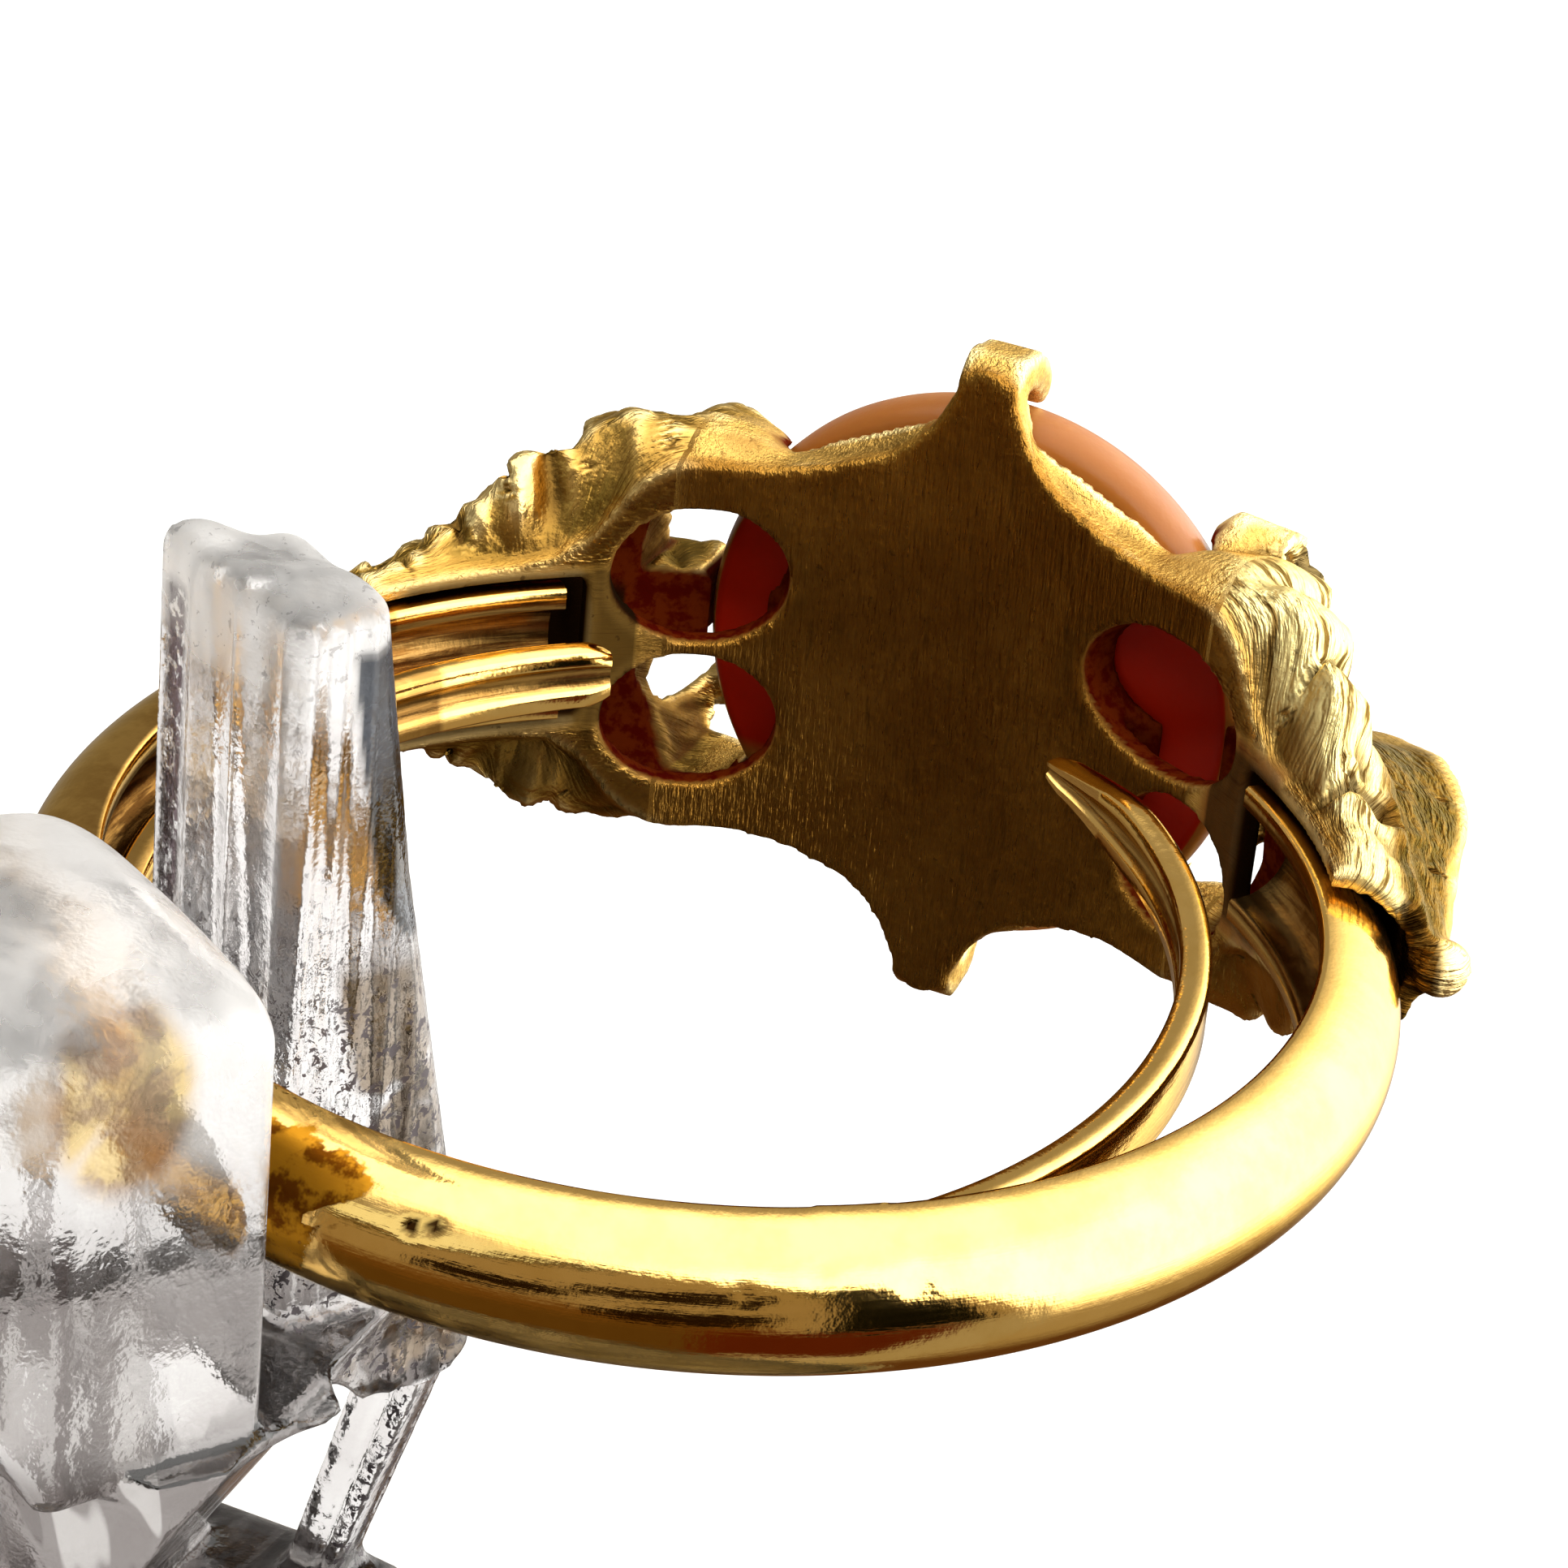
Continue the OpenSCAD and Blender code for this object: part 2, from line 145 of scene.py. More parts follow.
class Tree:
    """A node tree with short calls; the material's or the world's own tree."""

    def __init__(self, tree):
        self.tree = tree
        tree.nodes.clear()

    def add(self, kind, inputs=(), out=0, **settings):
        """A new node: its output by number or name, or with out=None the node itself."""
        node = self.tree.nodes.new("ShaderNode" + kind)
        for key, value in settings.items():
            setattr(node, key, value)
        for key, value in dict(inputs).items():
            self.set(node.inputs[key], value)
        return node.outputs[out] if isinstance(out, (int, str)) else node

    def set(self, socket, value):
        """Links an output to a socket, or gives the socket a value."""
        if isinstance(value, bpy.types.NodeSocket):
            self.tree.links.new(value, socket)
        elif hasattr(socket.default_value, "__len__") and isinstance(value, (tuple, list)):
            socket.default_value = (*value, 1.0)[:len(socket.default_value)]
        else:
            socket.default_value = value

    def math(self, operation, a, b=0.0, clamp=False):
        return self.add("Math", {0: a, 1: b}, operation=operation, use_clamp=clamp)

    def times(self, a, b, clamp=False):
        return self.math("MULTIPLY", a, b, clamp)

    def over(self, a, b):
        return self.math("DIVIDE", a, b)

    def plus(self, a, b, clamp=False):
        return self.math("ADD", a, b, clamp)

    def less(self, a, b, clamp=False):
        return self.math("SUBTRACT", a, b, clamp)

    def most(self, a, b):
        return self.math("MAXIMUM", a, b)

    def vector(self, operation, a, b=(0, 0, 0)):
        out = "Value" if operation in ("DOT_PRODUCT", "LENGTH", "DISTANCE") else 0
        return self.add("VectorMath", {0: a, 1: b}, out=out, operation=operation)

    def smooth(self, value, low, high, to_low=0.0, to_high=1.0):
        return self.add("MapRange", {0: value, 1: low, 2: high, 3: to_low, 4: to_high},
                        interpolation_type="SMOOTHSTEP")

    def mix(self, factor, a, b):
        """A colour between two others."""
        node = self.tree.nodes.new("ShaderNodeMix")
        node.data_type = "RGBA"
        self.set(node.inputs[0], factor)
        self.set(node.inputs[6], a)
        self.set(node.inputs[7], b)
        return node.outputs[2]

    def blend(self, value, low, high, a, b):
        """One colour where a value is low, another where it is high."""
        return self.mix(self.smooth(value, low, high), a, b)

    def mix_shaders(self, factor, a, b):
        return self.add("MixShader", {0: factor, 1: a, 2: b})

    def principled(self, **inputs):
        """The main shader; underscores stand for the spaces in its sockets' names."""
        return self.add("BsdfPrincipled", {k.replace("_", " "): v for k, v in inputs.items()})

    def noise(self, where, scale, detail, rough, distortion=0.0):
        return self.add("TexNoise", {"Vector": where, "Scale": scale, "Detail": detail,
                                     "Roughness": rough, "Distortion": distortion})

    def bump(self, height, strength, distance, normal=None):
        inputs = {"Strength": strength, "Distance": distance, "Height": height}
        if normal is not None:
            inputs["Normal"] = normal
        return self.add("Bump", inputs)

    def attribute(self, name, out="Fac"):
        return self.add("Attribute", attribute_name=name, out=out)

    def finish(self, shader, kind="OutputMaterial"):
        self.add(kind, {"Surface": shader}, out=None)

    def ring_point(self):
        """The shaded point in millimetres in the ring's frame."""
        where = self.add("TexCoord", out="Object")
        offset = self.vector("SUBTRACT", where, tuple(RING_AT))
        return self.add("VectorMath", {0: offset, "Scale": 1 / MM}, operation="SCALE")


def new_material(name):
    """A new material and its emptied node tree."""
    material = bpy.data.materials.new(name)
    material.use_nodes = True
    return material, Tree(material.node_tree)


def cast_gold():
    """Brushed antique gold: cream on ridges, olive brown in hollows, painted shade on the left
    shoulder, in the notches and round the openings, and deep red brown painted shade inside.
    """
    material, t = new_material("cast_gold")
    point = t.ring_point()
    grain = t.attribute("grain", "Vector")
    wear = t.attribute("wear")
    flank, brown = t.attribute("flank"), t.attribute("brown")
    lines = t.noise(grain, 5.0, 3.0, 0.65)
    fine = t.noise(grain, 14.0, 2.0, 0.7)
    blotch = t.noise(point, 0.55, 4.0, 0.6)
    pits = t.noise(point, 4.0, 3.0, 0.6)
    # Grime along the brush lines and in pits, patina in the hollows, and painted shade in the notches
    # and round the openings
    dirt_and_shade = t.plus(t.times(t.smooth(wear, 0.1, -0.8), 0.85),
                  t.times(t.smooth(lines, 0.44, 0.3), 0.4), clamp=True)
    dirt_and_shade = t.most(dirt_and_shade, t.times(t.smooth(pits, 0.66, 0.72), 0.6))
    metal = t.blend(blotch, 0.35, 0.7, (0.6, 0.36, 0.09), (0.42, 0.24, 0.055))
    metal = t.blend(wear, 0.15, 0.9, metal, (0.9, 0.68, 0.3))
    shaded = t.blend(blotch, 0.4, 0.6, (0.26, 0.14, 0.025), (0.17, 0.1, 0.015))
    lined = t.blend(lines, 0.4, 0.52, (0.14, 0.08, 0.02), (0.92, 0.74, 0.32))
    # Dark brown on the right keel below its pale crest
    below_crest_brown = t.blend(lines, 0.42, 0.58, (0.02, 0.008, 0.001), (0.13, 0.06, 0.009))
    plain = t.blend(blotch, 0.35, 0.7, (0.26, 0.12, 0.018), (0.36, 0.18, 0.03))
    red = t.blend(pits, 0.4, 0.6, (0.06, 0.002, 0.0005), (0.1, 0.012, 0.001))
    masks = t.attribute("shade"), flank, brown, t.attribute("plate")
    for mask, look in zip(masks, (shaded, lined, below_crest_brown, plain)):
        metal = t.mix(mask, metal, look)
    colour = t.mix(dirt_and_shade, metal, (0.07, 0.035, 0.007))
    # Painted shade: deep red brown inside the casting, near black in the slot where the band goes in,
    # both matt
    inside, slot = t.attribute("inside"), t.attribute("slot")
    colour = t.mix(inside, colour, red)
    colour = t.mix(slot, colour, (0.01, 0.004, 0.001))
    dull = t.most(inside, slot)
    rough = t.plus(t.times(fine, 0.18), t.times(dirt_and_shade, 0.16))
    rough = t.plus(rough, t.plus(0.2, t.times(flank, 0.12)))
    rough = t.plus(rough, t.times(dull, 0.4))
    height = t.plus(t.times(lines, 0.7), t.times(fine, 0.4))
    height = t.times(height, t.plus(1.0, t.most(flank, brown)))
    normal = t.bump(height, 0.9, 0.0001)
    normal = t.bump(pits, 0.3, 0.0001, normal)
    shader = t.principled(Base_Color=colour, Metallic=t.less(1.0, dull, clamp=True), Roughness=rough,
                          Specular_IOR_Level=0.06, Specular_Tint=(1.0, 0.86, 0.55, 1.0), Normal=normal)
    matt = t.add("BsdfDiffuse", {"Color": colour})
    t.finish(t.mix_shaders(t.times(dull, 0.85), shader, matt))
    return material


def polished_gold():
    """Polished yellow gold plate with fine scratches, an amber tarnish near the clip, and painted shade
    in the band's hollow, the tongues' channels, low by the clip and along the left side.
    """
    material, t = new_material("polished_gold")
    point = t.ring_point()
    tarnish = t.attribute("tarnish")
    inside = t.attribute("inside")
    blotch = t.noise(point, 0.9, 5.0, 0.65)
    edge = t.noise(point, 1.5, 4.0, 0.7)
    scratches = t.noise(t.vector("MULTIPLY", point, (0.5, 0.5, 9.0)), 1.6, 3.0, 0.6)
    stain = t.smooth(t.plus(tarnish, t.times(edge, 1.4)), 1.2, 1.4)
    metal = t.blend(blotch, 0.35, 0.7, (0.88, 0.56, 0.17), (0.8, 0.49, 0.13))
    shade = t.attribute("shade")
    metal = t.mix(shade, metal, t.blend(blotch, 0.4, 0.6, (0.3, 0.15, 0.035), (0.44, 0.25, 0.07)))
    within = t.blend(scratches, 0.4, 0.6, (0.2, 0.09, 0.02), (0.42, 0.24, 0.07))
    darkest = t.blend(scratches, 0.42, 0.58, (0.04, 0.015, 0.003), (0.16, 0.08, 0.02))
    # Painted shade in the band's hollow and the tongues' channels, darkest where the other painted
    # shade lies
    metal = t.mix(inside, metal, t.mix(shade, within, darkest))
    colour = t.mix(stain, metal, t.blend(edge, 0.42, 0.56, (0.12, 0.035, 0.002), (0.42, 0.18, 0.01)))
    colour = t.mix(t.attribute("pit"), colour, (0.03, 0.01, 0.002))
    rough = t.plus(0.07, t.times(scratches, 0.07))
    rough = t.plus(rough, t.plus(t.times(stain, 0.2), t.times(inside, 0.15)))
    normal = t.bump(scratches, 0.12, 0.00003)
    normal = t.bump(blotch, 0.08, 0.0002, normal)
    t.finish(t.principled(Base_Color=colour, Metallic=1.0, Roughness=rough,
                          Specular_Tint=(1.0, 0.88, 0.6, 1.0), Normal=normal))
    return material


def coral_resin():
    """Waxy coral resin that glows deep orange where light passes through it, with painted shade low on
    its side by the cup and a painted deep red shade on its back.
    """
    material, t = new_material("coral_resin")
    point = t.ring_point()
    veins = t.noise(point, 0.45, 5.0, 0.6, 0.8)
    fleck = t.noise(point, 3.2, 3.0, 0.6)
    colour = t.blend(veins, 0.35, 0.65, (0.26, 0.085, 0.014), (0.32, 0.115, 0.022))
    colour = t.mix(t.times(t.smooth(fleck, 0.5, 0.8), 0.3), colour, (0.38, 0.15, 0.03))
    # Painted shade: deep red on the stone's back seen through the openings, and darker low on its side
    # by the cup's lip
    out = t.add("SeparateXYZ", {0: point}, out="Y")
    flat = t.vector("MULTIPLY", point, (1, 0, 1))
    height = t.math("ABSOLUTE", t.vector("DOT_PRODUCT", point, (0, 0, 1)))
    shown = t.most(t.smooth(t.vector("LENGTH", flat), 4.5, 4.3), t.smooth(height, 2.7, 2.3))
    back = t.times(t.smooth(out, SEAT_N + 0.06, SEAT_N + 0.02), shown)
    rim = t.smooth(out, SEAT_N + 0.9, SEAT_N + 0.2)
    colour = t.mix(t.times(rim, 0.8), colour, (0.24, 0.075, 0.008))
    colour = t.mix(back, colour, (0.3, 0.008, 0.001))
    normal = t.bump(fleck, 0.12, 0.0001)
    gloss = t.less(0.2, t.times(back, 0.15))
    t.finish(t.principled(
        Base_Color=colour, Roughness=0.32, Subsurface_Weight=0.4, Subsurface_Radius=(1.0, 0.6, 0.35),
        Subsurface_Scale=0.0003, IOR=1.54, Specular_IOR_Level=gloss, Normal=normal))
    return material


# The upper end and the direction of a dark hair on the inner jaw's side
HAIR_AT, HAIR_WAY = (-2.05, -8.46, -0.07), (-0.09, -0.146, -0.985)


def clear_acrylic():
    """Grey-tinted moulded acrylic, frosted on its tops, with scuffs and dark specks, painted shade in
    grey, violet and brown, and painted reflections of the gold band.
    """
    material, t = new_material("clear_acrylic")
    point = t.ring_point()
    scuff = t.noise(point, 1.1, 4.0, 0.6)
    cloud = t.noise(point, 0.55, 3.0, 0.6, 0.4)
    fine = t.noise(point, 8.0, 3.0, 0.7)
    specks = t.noise(point, 5.5, 3.0, 0.65, 0.5)
    speckle, frost, blue = t.attribute("speckle"), t.attribute("frost"), t.attribute("blue")
    dark = t.smooth(t.plus(specks, t.times(speckle, 0.1)), 0.66, 0.7)
    dark = t.times(dark, speckle, clamp=True)
    rough = t.plus(0.03, t.times(t.smooth(cloud, 0.42, 0.7), 0.16))
    rough = t.plus(rough, t.times(frost, 0.24))
    tint = t.blend(cloud, 0.35, 0.65, (0.86, 0.845, 0.85), (0.72, 0.69, 0.69))
    tint = t.mix(frost, tint, (0.88, 0.87, 0.87))
    # Painted shade: grey bands on the facets, where the grey mask lies
    facet = t.noise(t.attribute("facet", "Vector"), 2.6, 1.0, 0.5)
    facet_shade = t.blend(facet, 0.42, 0.45, (0.06, 0.05, 0.048), (0.1, 0.086, 0.083))
    facet_shade = t.blend(facet, 0.57, 0.6, facet_shade, (0.34, 0.32, 0.31))
    tint = t.mix(t.attribute("grey"), tint, facet_shade)
    # Painted shade: a near-black band past the inner jaw's edge
    tint = t.mix(blue, tint, (0.012, 0.014, 0.018))
    # Painted violet shade on the inner jaw's side
    violet = t.times(t.attribute("violet"), t.smooth(specks, 0.35, 0.5))
    tint = t.mix(violet, tint, (0.03, 0.017, 0.022))
    # Painted reflection of the gold seen through the outer jaw
    glow = t.times(t.attribute("glow"), t.smooth(cloud, 0.3, 0.45, 0.5, 0.95))
    tint = t.mix(glow, tint, t.blend(scuff, 0.42, 0.56, (0.95, 0.55, 0.1), (0.3, 0.13, 0.015)))
    # Painted brownish shade by the inner jaw's slanting face
    amber = t.times(t.attribute("amber"), t.smooth(cloud, 0.38, 0.5))
    tint = t.mix(amber, tint, (0.13, 0.085, 0.05))
    normal = t.bump(scuff, 0.3, 0.0002)
    normal = t.bump(fine, 0.1, 0.00006, normal)
    clear = t.principled(Base_Color=tint, Roughness=rough, IOR=1.38, Transmission_Weight=1.0,
                         Normal=normal)
    grime = t.principled(Base_Color=(0.05, 0.04, 0.045), Roughness=0.6)
    from_hair = t.vector("SUBTRACT", point, HAIR_AT)
    down_hair = t.vector("DOT_PRODUCT", from_hair, HAIR_WAY)
    off_hair = t.vector("LENGTH", t.vector("CROSS_PRODUCT", from_hair, HAIR_WAY))
    hair = t.times(t.smooth(off_hair, 0.06, 0.045), t.smooth(down_hair, -0.03, 0.03))
    dark = t.most(dark, t.times(hair, t.smooth(down_hair, 0.95, 0.85)))
    bloom = t.add("BsdfDiffuse", {"Color": (0.9, 0.88, 0.86)})
    bloomed = t.times(frost, t.smooth(cloud, 0.3, 0.7, 0.08, 0.26))
    bloomed = t.times(bloomed, t.less(1.0, t.most(blue, glow), clamp=True))
    # Painted reflection of the band where the clip lies round it
    held = t.blend(specks, 0.42, 0.55, (0.78, 0.45, 0.1), (0.22, 0.1, 0.015))
    gold = t.principled(Base_Color=held, Metallic=1.0, Roughness=0.22, Normal=normal)
    shader = t.mix_shaders(t.attribute("contact"), t.mix_shaders(bloomed, clear, bloom), gold)
    t.finish(t.mix_shaders(dark, shader, grime))
    return material


# The band and its sizing spring

def band_section(corner=0.05):
    """The hollow half-round, as radius and height, anticlockwise."""
    wide = math.acos((FINGER_R - BAND_MID_R) / BAND_ROUND) - corner / BAND_ROUND
    tight = math.acos((FINGER_R - BAND_MID_R) / BAND_HOLLOW) - corner / BAND_HOLLOW
    a = np.linspace(-wide, wide, 56)
    b = np.linspace(tight, -tight, 36)
    outer = np.stack([BAND_MID_R + BAND_ROUND * np.cos(a), BAND_ROUND * np.sin(a)], -1)
    inner = np.stack([BAND_MID_R + BAND_HOLLOW * np.cos(b), BAND_HOLLOW * np.sin(b)], -1)
    rim = np.array([[FINGER_R, outer[-1, 1] - corner], [FINGER_R, inner[0, 1] + corner]])
    return np.concatenate([outer, rim, inner, rim[::-1] * [1, -1]])


# Dents in the band: angle, height, depth and size along and across, in degrees and millimetres
DENTS = [(177.75, 0.72, 0.06, 0.7, 0.11), (176, 0.79, 0.05, 0.6, 0.1), (146, 1.0, 0.03, 1.6, 0.25),
         (139, 0.75, 0.035, 1.0, 0.2), (152, 0.6, 0.02, 0.9, 0.15), (86, 0.6, 0.03, 0.7, 0.12)]
# A slanting crease in the band: its first and last angle, its height at them and its depth
CREASE_PHI, CREASE_Z, CREASE_DEPTH = (139.5, 146.5), (1.25, 0.8), 0.035


def band_rows():
    """The band's sections one after another, with its dents and a fine crease."""
    section = band_section()
    phis = np.linspace(BAND_END_PHI, 360 - BAND_END_PHI, 520)
    rows = []
    for phi in phis:
        r, z = section[:, 0].copy(), section[:, 1].copy()
        outside = ramp(0.95, 1.15, np.hypot(r - BAND_MID_R, z))
        for at, height, depth, along, across in DENTS:
            r -= depth * outside * bump_at(phi, at, along) * bump_at(z, height, across)
        if CREASE_PHI[0] < phi < CREASE_PHI[1]:
            r -= CREASE_DEPTH * outside * ramp(0, 0.05, z - np.interp(phi, CREASE_PHI, CREASE_Z))
        rows.append(polar(r, phi, z))
    return np.array(rows)


def spring_section(mid_r, round_by=0.05):
    """The spring's channel, open to the finger, as radius and height."""
    lo_r, hi_r, half = mid_r - SPRING_T / 2, mid_r + SPRING_T / 2, SPRING_W / 2
    scoop_at, scoop_r = mid_r - SPRING_T * 1.1, SPRING_W * 0.36
    a0 = math.acos((lo_r - scoop_at) / scoop_r)
    b = np.linspace(a0, -a0, 18)
    scoop = np.stack([scoop_at + scoop_r * np.cos(b), scoop_r * np.sin(b)], -1)
    k = np.linspace(0, math.pi / 2, 6)
    outer_round = round_by * 3
    low_corner = np.stack([hi_r - outer_round + outer_round * np.sin(k),
                           -half + outer_round - outer_round * np.cos(k)], -1)
    high_corner = (low_corner * [1, -1])[::-1]
    mouth = np.array([[lo_r + round_by, half], [lo_r, half - round_by], [lo_r, scoop[0, 1] + 0.02]])
    return np.concatenate([low_corner, high_corner, mouth, scoop, (mouth * [1, -1])[::-1]])


# Where both tongues leave the band, out from the ring's centre: they tilt about this line
TONGUE_ROOT = -8.5


def tongue_rows(side, cx, cy, r, phi_from, phi_to, tilt, tip):
    """A tongue's sections from its narrow tip: a tilted arc about a centre of its own."""
    rows = []
    lean = math.radians(tilt)
    for phi in np.linspace(phi_from, phi_to, 150):
        from_tip = (phi - phi_from) * math.pi / 180 * r
        width = 1 - (1 - tip) * (1 - ramp(0, 2.6, from_tip))
        ends = math.sqrt(min(1, (from_tip + 0.03) / 0.45))
        section = spring_section(r)
        mid = section.mean(0)
        section = (section - mid) * [min(1, 0.5 + 0.5 * ends), width * min(1, 0.6 + 0.4 * ends)] + mid
        across, out, up = (polar(section[:, 0], phi, section[:, 1]) + (cx, cy - TONGUE_ROOT, 0)).T
        tilted = out * math.cos(lean) - up * math.sin(lean), out * math.sin(lean) + up * math.cos(lean)
        rows.append(np.stack([across * side, tilted[0] + TONGUE_ROOT, tilted[1]], -1))
    rows = np.array(rows)
    return rows if side > 0 else rows[:, ::-1]


def build_shank(material):
    """The band, the spring's two tongues and the short strip that holds them, as one mesh."""
    # side, centre across, centre out, radius, first and last angle, tilt, width of the tip
    right = tongue_rows(1, -1.46, -1.14, 9.37, 28, 157, 2.4, 0.4)
    left = tongue_rows(-1, -1.28, -0.98, 9.85, 40, 144, 1.15, 0.95)
    strip_r, strip_z = np.array([9.75, 10.6, 10.6, 9.75]), np.array([-0.63, -0.63, 0.63, 0.63])
    strip = np.array([polar(strip_r, phi, strip_z) for phi in np.linspace(150, 212, 60)])
    band = band_rows()
    points, faces = joined([band, right, left, strip])
    piece = mesh_object("gold_shank", points, faces)
    x, y, z = points.T
    phi = np.degrees(np.arctan2(x, y)) % 360
    # Amber tarnish by the clip, with a bare swirl at its edge
    edge = np.interp(z, (0, 0.5, 0.9, 1.2), (185, 182.5, 181, 182))
    spread = ramp(edge - 3, edge + 4, phi) * ramp(222, 204, phi)
    along = np.clip((186 - phi) / 5, 0, 1)
    off_swirl = np.hypot((phi - 186 + 5 * along) * 0.19, z - 0.38 - 0.49 * along)
    spread *= 1 - 0.8 * ramp(0.14, 0.05, off_swirl)
    # Painted shade: a dark reflection low on the band by the clip, and shade along the band's left side
    low_shade = ramp(163, 171, phi) * ramp(-0.55, -0.8, z) * (phi < 200)
    left_shade = 0.9 * ramp(205, 215, phi) * (phi < 300)
    pit = sum(bump_at(phi, at, 0.55) * bump_at(z, height, 0.09) for at, height, *_ in DENTS[:2])
    # The band's hollow and the tongues' channels get painted shade
    inside = ramp(1.05, 0.95, np.hypot(np.hypot(x, y) - BAND_MID_R, z))
    start = band.shape[0] * band.shape[1]
    inside[start:] = 0
    for rows, middle in ((right, 0.67), (left, 0.33)):
        count, per_row = rows.shape[:2]
        which = np.tile(np.arange(per_row), count)
        near = np.abs(which - (per_row - 1) * middle) < per_row * 0.16
        inside[start:start + len(which)] = 0.8 * near
        start += len(which)
    add_masks(piece, tarnish=spread * ramp(-1, -0.4, z) * ramp(1.35, 1.05, z), inside=inside,
              shade=np.maximum(low_shade, left_shade), pit=ramp(0.15, 0.45, pit))
    finish_piece(piece, "shank", material, sharp=50)


def add_masks(piece, **masks):
    """Gives each point of a piece the values or vectors that its material reads."""
    for name, values in masks.items():
        values = np.asarray(values, np.float32)
        kind = "FLOAT" if values.ndim == 1 else "FLOAT_VECTOR"
        layer = piece.data.attributes.new(name, kind, "POINT")
        layer.data.foreach_set("value" if kind == "FLOAT" else "vector", values.ravel())


def finish_piece(piece, node, material, sharp=None):
    """Gives a piece its material and its body, and hides the CAD node it stands for."""
    piece.data.materials.clear()
    piece.data.materials.append(material)
    if sharp is not None:
        with bpy.context.temp_override(object=piece, active_object=piece, selected_objects=[piece],
                                       selected_editable_objects=[piece]):
            bpy.ops.object.shade_smooth_by_angle(angle=math.radians(sharp))
    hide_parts(node)
    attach(piece, "root")


# The cast setting

def remeshed(node, name, voxel_mm):
    """A fine, evenly meshed copy of a CAD node, in millimetres in the ring's frame."""
    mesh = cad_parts[node].data.copy()
    mesh.transform(Matrix.Scale(1 / MM, 4) @ Matrix.Translation(-RING_AT))
    piece = linked(name, mesh)
    remesh = piece.modifiers.new("remesh", "REMESH")
    remesh.mode = "VOXEL"
    remesh.voxel_size = voxel_mm
    remesh.use_smooth_shade = True
    for _ in range(2):
        piece.modifiers.new("smooth", "SMOOTH")
    final = piece.evaluated_get(bpy.context.evaluated_depsgraph_get())
    final = bpy.data.meshes.new_from_object(final)
    piece.modifiers.clear()
    piece.data = final
    bpy.data.meshes.remove(mesh)
    return piece


def read_vectors(mesh, what):
    """The points of a mesh, or their normals, by the names co and normal."""
    out = np.empty(len(mesh.vertices) * 3)
    mesh.vertices.foreach_get(what, out)
    return out.reshape(-1, 3)


def write_points(mesh, points):
    """Moves a mesh's points."""
    mesh.vertices.foreach_set("co", np.asarray(points, np.float32).ravel())
    mesh.update()


def neighbour_mean(mesh, values, times):
    """Values smoothed over the mesh's edges."""
    edges = np.empty(len(mesh.edges) * 2, np.int64)
    mesh.edges.foreach_get("vertices", edges)
    a, b = edges.reshape(-1, 2).T
    count = np.bincount(np.concatenate([a, b]), minlength=len(values))
    for _ in range(times):
        total = np.bincount(a, values[b], len(values)) + np.bincount(b, values[a], len(values))
        values = total / np.maximum(count, 1)
    return values


def curvature(mesh):
    """How far each point stands proud of its neighbours, from -1 in a hollow to 1 on a ridge."""
    points, normals = read_vectors(mesh, "co"), read_vectors(mesh, "normal")
    mean = np.stack([neighbour_mean(mesh, points[:, k], 3) for k in range(3)], -1)
    proud = ((points - mean) * normals).sum(1)
    proud = neighbour_mean(mesh, proud, 2)
    return np.clip(proud / (2.2 * np.std(proud)), -1, 1)


# The radius of the line round which a shoulder's section is seen by angle
LEAF_AXIS_R = 9.3
# Angles between which the shoulders are hollow, and those of the notches between lobes on each side
HOLLOW_PHI = (17, 47.5)
RIGHT_NOTCHES, LEFT_NOTCHES = (23, 40.5, 51), (31, 38.5, 46, 51, 57)
# The shoulders' outer section along a shoulder: angle, half width at the finger, radius and height of
# the widest place, radius and height of the leaves' rim, radius of the valley inside it
SHOULDER = np.array([
    (17, 3.3, 10.4, 3.5, 11.2, 3.2, 10.9), (20, 3.4, 10.8, 3.7, 13, 2.9, 11.4),
    (22, 3.45, 11, 3.8, 14.2, 2.5, 11.8), (26, 3.5, 10.9, 4, 13.3, 2.9, 11.9),
    (30, 3.5, 10.8, 4.15, 12.6, 3.1, 11.9), (34, 3.1, 10.8, 4.1, 12.1, 3.2, 11.8),
    (38, 2.15, 10.7, 3.9, 11.7, 3.1, 11.6), (42, 1.7, 10.6, 3.6, 11.4, 2.9, 11.5),
    (46, 1.62, 10.5, 3.2, 11.2, 2.65, 11.5), (50, 1.6, 10.4, 2.5, 11, 2.2, 11.4),
    (54, 1.6, 10.3, 2.1, 10.85, 1.9, 11.35), (62, 1.6, 10.15, 1.75, 10.65, 1.55, 11.3)])

# Where the right keel's pale crest lies: angles and radii
CREST_PHI, CREST_R = (17, 22, 30, 34, 42, 50, 62), (11, 12.6, 14.3, 14.6, 13.8, 12.7, 11.85)


def section_column(phi, column):
    """One size of the shoulders' section at an angle."""
    return np.interp(phi, SHOULDER[:, 0], SHOULDER[:, column])


def hollow_distance(r, phi, height):
    """How far outside the shoulders' hollow points lie, in millimetres, negative in it."""
    foot, wide_r, wide, rim_r, rim, valley = (section_column(phi, k) for k in range(1, 7))
    zero = np.zeros(len(r))
    end = valley - 0.1 - CAST_WALL
    upper = np.maximum(wide_r + 0.25, np.minimum(rim_r, valley + 0.3) - 0.25 - CAST_WALL)
    corners = [(zero + BACK_R, zero - 1), (zero + BACK_R, np.maximum(1.15, foot - CAST_WALL)),
               (wide_r + 0.05, np.maximum(1.2, wide - 0.4 - CAST_WALL)),
               (upper, np.maximum(1, rim - 0.5 - CAST_WALL)), (end, zero + 0.6), (end, zero - 1)]
    return outline_distance(r, height, corners)


# The openings in the back: side, end, angle and half width; then the half height and middle of them all
OPENINGS = [(1, 1, 25, 1.85), (1, -1, 29, 1.45), (-1, 1, 27, 1.56), (-1, -1, 27, 1.56)]
OPENING_R, OPENING_Z = 1.28, 1.41


